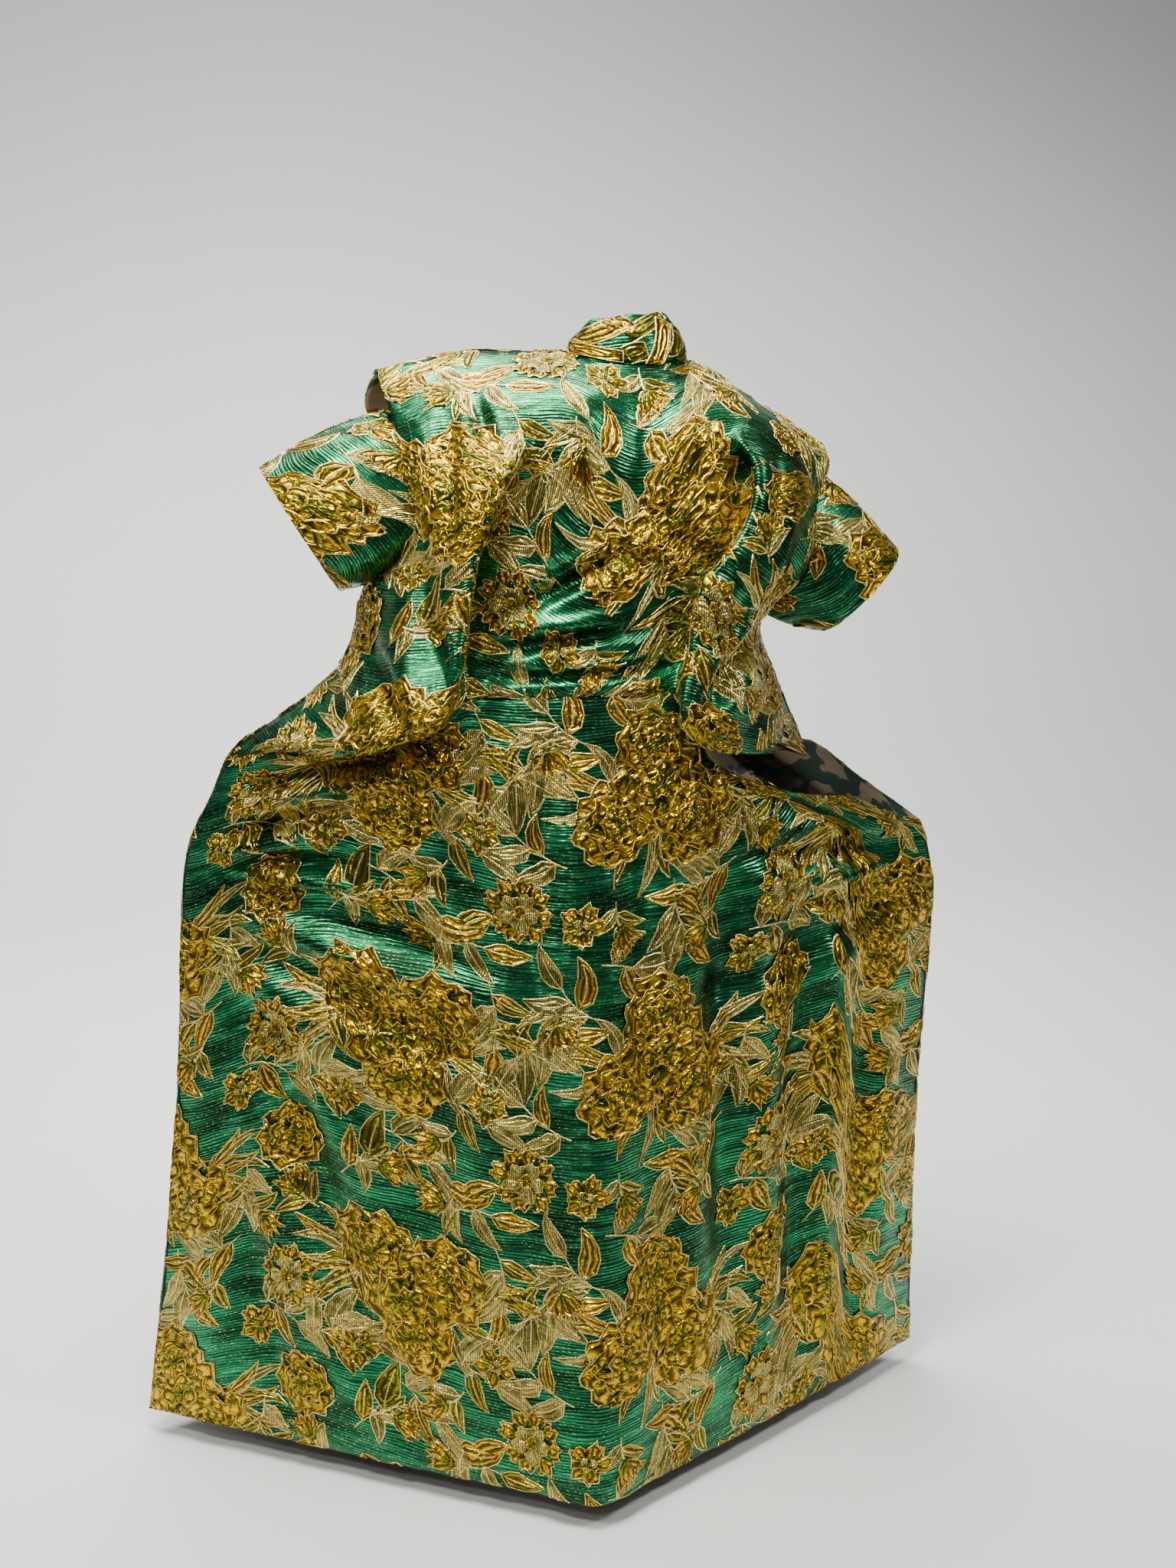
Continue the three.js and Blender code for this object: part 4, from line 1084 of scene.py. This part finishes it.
def stitch_tree(material):
    """Geometry Nodes that set a stitch at every pitch of each line of edges"""
    tree = bpy.data.node_groups.new("stitches", "GeometryNodeTree")
    for way in ("INPUT", "OUTPUT"):
        tree.interface.new_socket("Geometry", in_out=way, socket_type="NodeSocketGeometry")

    def add(kind, mode=None, **values):
        made = tree.nodes.new(kind)
        if mode:
            made.mode = mode
        for name, value in values.items():
            socket = made.inputs[name]
            if hasattr(value, "is_output"):
                tree.links.new(value, socket)
            else:
                socket.default_value = value
        return made.outputs[0] if made.outputs else made

    curve = add("GeometryNodeMeshToCurve", Mesh=add("NodeGroupInput"))
    spaced = add("GeometryNodeResampleCurve", "LENGTH", Curve=curve, Length=STITCH_PITCH)
    turned = add("FunctionNodeAlignRotationToVector", Vector=add("GeometryNodeInputTangent"))
    turned.node.axis = "Z"
    stitch = add("GeometryNodeMeshCylinder", Vertices=6, Radius=STITCH_RADIUS, Depth=STITCH_LENGTH)
    rows = add("GeometryNodeInstanceOnPoints", Points=spaced, Instance=stitch, Rotation=turned)
    real = add("GeometryNodeRealizeInstances", Geometry=rows)
    add("NodeGroupOutput", Geometry=add("GeometryNodeSetMaterial", Geometry=real, Material=material))
    return tree


def raised(grid, side):
    """A grid just outside another one"""
    return grid + normals(grid, side) * THREAD_LIFT


lines = [raised(skirt_back_grid, 1)[HEM_ROW], raised(skirt_front_grid, -1)[HEM_ROW]]
lines += [raised(grid, sign)[CUFF_ROW] for grid, sign, _ in sleeve_grids.values()]
lines += [raised(back_grid, 1)[:UNDERARM_ROW, column] for column in EDGE_COLS]
mesh = bpy.data.meshes.new("edge_stitches")
starts = np.cumsum([0] + [len(line) for line in lines])
edges = [(k, k + 1) for line, first in zip(lines, starts) for k in range(first, first + len(line) - 1)]
mesh.from_pydata((np.concatenate(lines) * MM).tolist(), edges, [])
edge_stitches = new_object("edge_stitches", mesh)
green_thread, wire = finish("green_thread")
twist = wire.node("TexCoord", {}, out=3).scaled(1500, 1500).noise()
surface(wire, twist, 0.0002, twist.mix(0x1C4A2E, 0x4C9A6C), roughness=0.5)
sewn = edge_stitches.modifiers.new("stitches", "NODES")
sewn.node_group = stitch_tree(green_thread)
evaluated = edge_stitches.evaluated_get(bpy.context.evaluated_depsgraph_get())
edge_stitches.data = bpy.data.meshes.new_from_object(evaluated)
edge_stitches.modifiers.clear()
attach(edge_stitches, "root")

# A pale studio: off-white paper that curves up into a wall, with painted shade that greys the wall
# towards its top and darkens the floor before the camera. The strongest light is high over the gown's
# back, with one on either side of the camera and a small one near it for the glints.
FLOOR_Z = -1.435
BEND_STEPS = 16


def studio():
    """The floor and the wall in one sheet, far wider than the view"""
    half, near, far, bend, height = 9.0, 6.0, -2.6, 1.6, 6.0
    profile = [(near, FLOOR_Z)]
    for step in range(BEND_STEPS + 1):
        turn = math.pi / 2 * step / BEND_STEPS
        profile.append((far - bend * math.sin(turn), FLOOR_Z + bend * (1 - math.cos(turn))))
    profile.append((far - bend, FLOOR_Z + height))
    points = [(x, y, z) for y, z in profile for x in (-half, half)]
    faces = [(2 * k, 2 * k + 1, 2 * k + 3, 2 * k + 2) for k in range(len(profile) - 1)]
    mesh = bpy.data.meshes.new("studio")
    mesh.from_pydata(points, [], faces)
    mesh.shade_smooth()
    made, wire = finish("studio_paper")
    place = wire.node("TexCoord", {}, out=3)
    grain = place.scaled(3, 3).noise()
    # Painted shade: the wall greys towards its top
    high = place.along_axis(2).step(-0.9, 1.5)
    # Painted shade: the floor turns dark grey before the camera, so that it sends less light back onto
    # the gown
    near_painted_shade = place.along_axis(1).step(0.45, 1.2)
    paper = high.mix(grain.mix(0xEDECEA, 0xF2F1EF), 0xA0A0A2)
    surface(wire, grain, 0.0005, near_painted_shade.mix(paper, 0x585858), roughness=0.8)
    mesh.materials.append(made)
    sheet = new_object("studio", mesh)


def lamp(name, place, target, width, power, colour):
    """A round light at a place in metres, aimed at a target"""
    data = bpy.data.lights.new(name, "AREA")
    data.shape = "DISK"
    data.size = width
    data.energy = power
    data.color = colour
    new_object(name, data).matrix_world = aimed(place, Vector(target) - Vector(place))


studio()
lamp("high_light", (0.35, 0.52, 1.35), (0, 0.1, -0.3), 0.9, 74, (1.0, 0.99, 0.96))
lamp("left_light", (1.4, 1.2, 0.95), (0.1, 0, -0.4), 0.4, 28, (1.0, 0.98, 0.93))
lamp("right_light", (-1.35, 1.15, 0.95), (-0.1, 0, -0.4), 0.4, 26, (1.0, 0.98, 0.95))
lamp("glint_light", (0.8, 2.2, 0.6), (0.1, 0, -0.6), 0.2, 7, (1.0, 0.99, 0.95))
lamp("wall_light", (0.3, -1.0, 1.2), (0.2, -4.2, -0.5), 2.2, 100, (1.0, 1.0, 1.0))
lamp("floor_light", (0.5, -1.2, 2.2), (0.5, -1.6, -1.4), 2.6, 124, (1.0, 1.0, 1.0))
world = bpy.data.worlds.new("studio_air")
world.use_nodes = True
air = world.node_tree.nodes["Background"].inputs
air["Color"].default_value = (0.9, 0.92, 0.95, 1)
air["Strength"].default_value = 0.09
bpy.context.scene.world = world
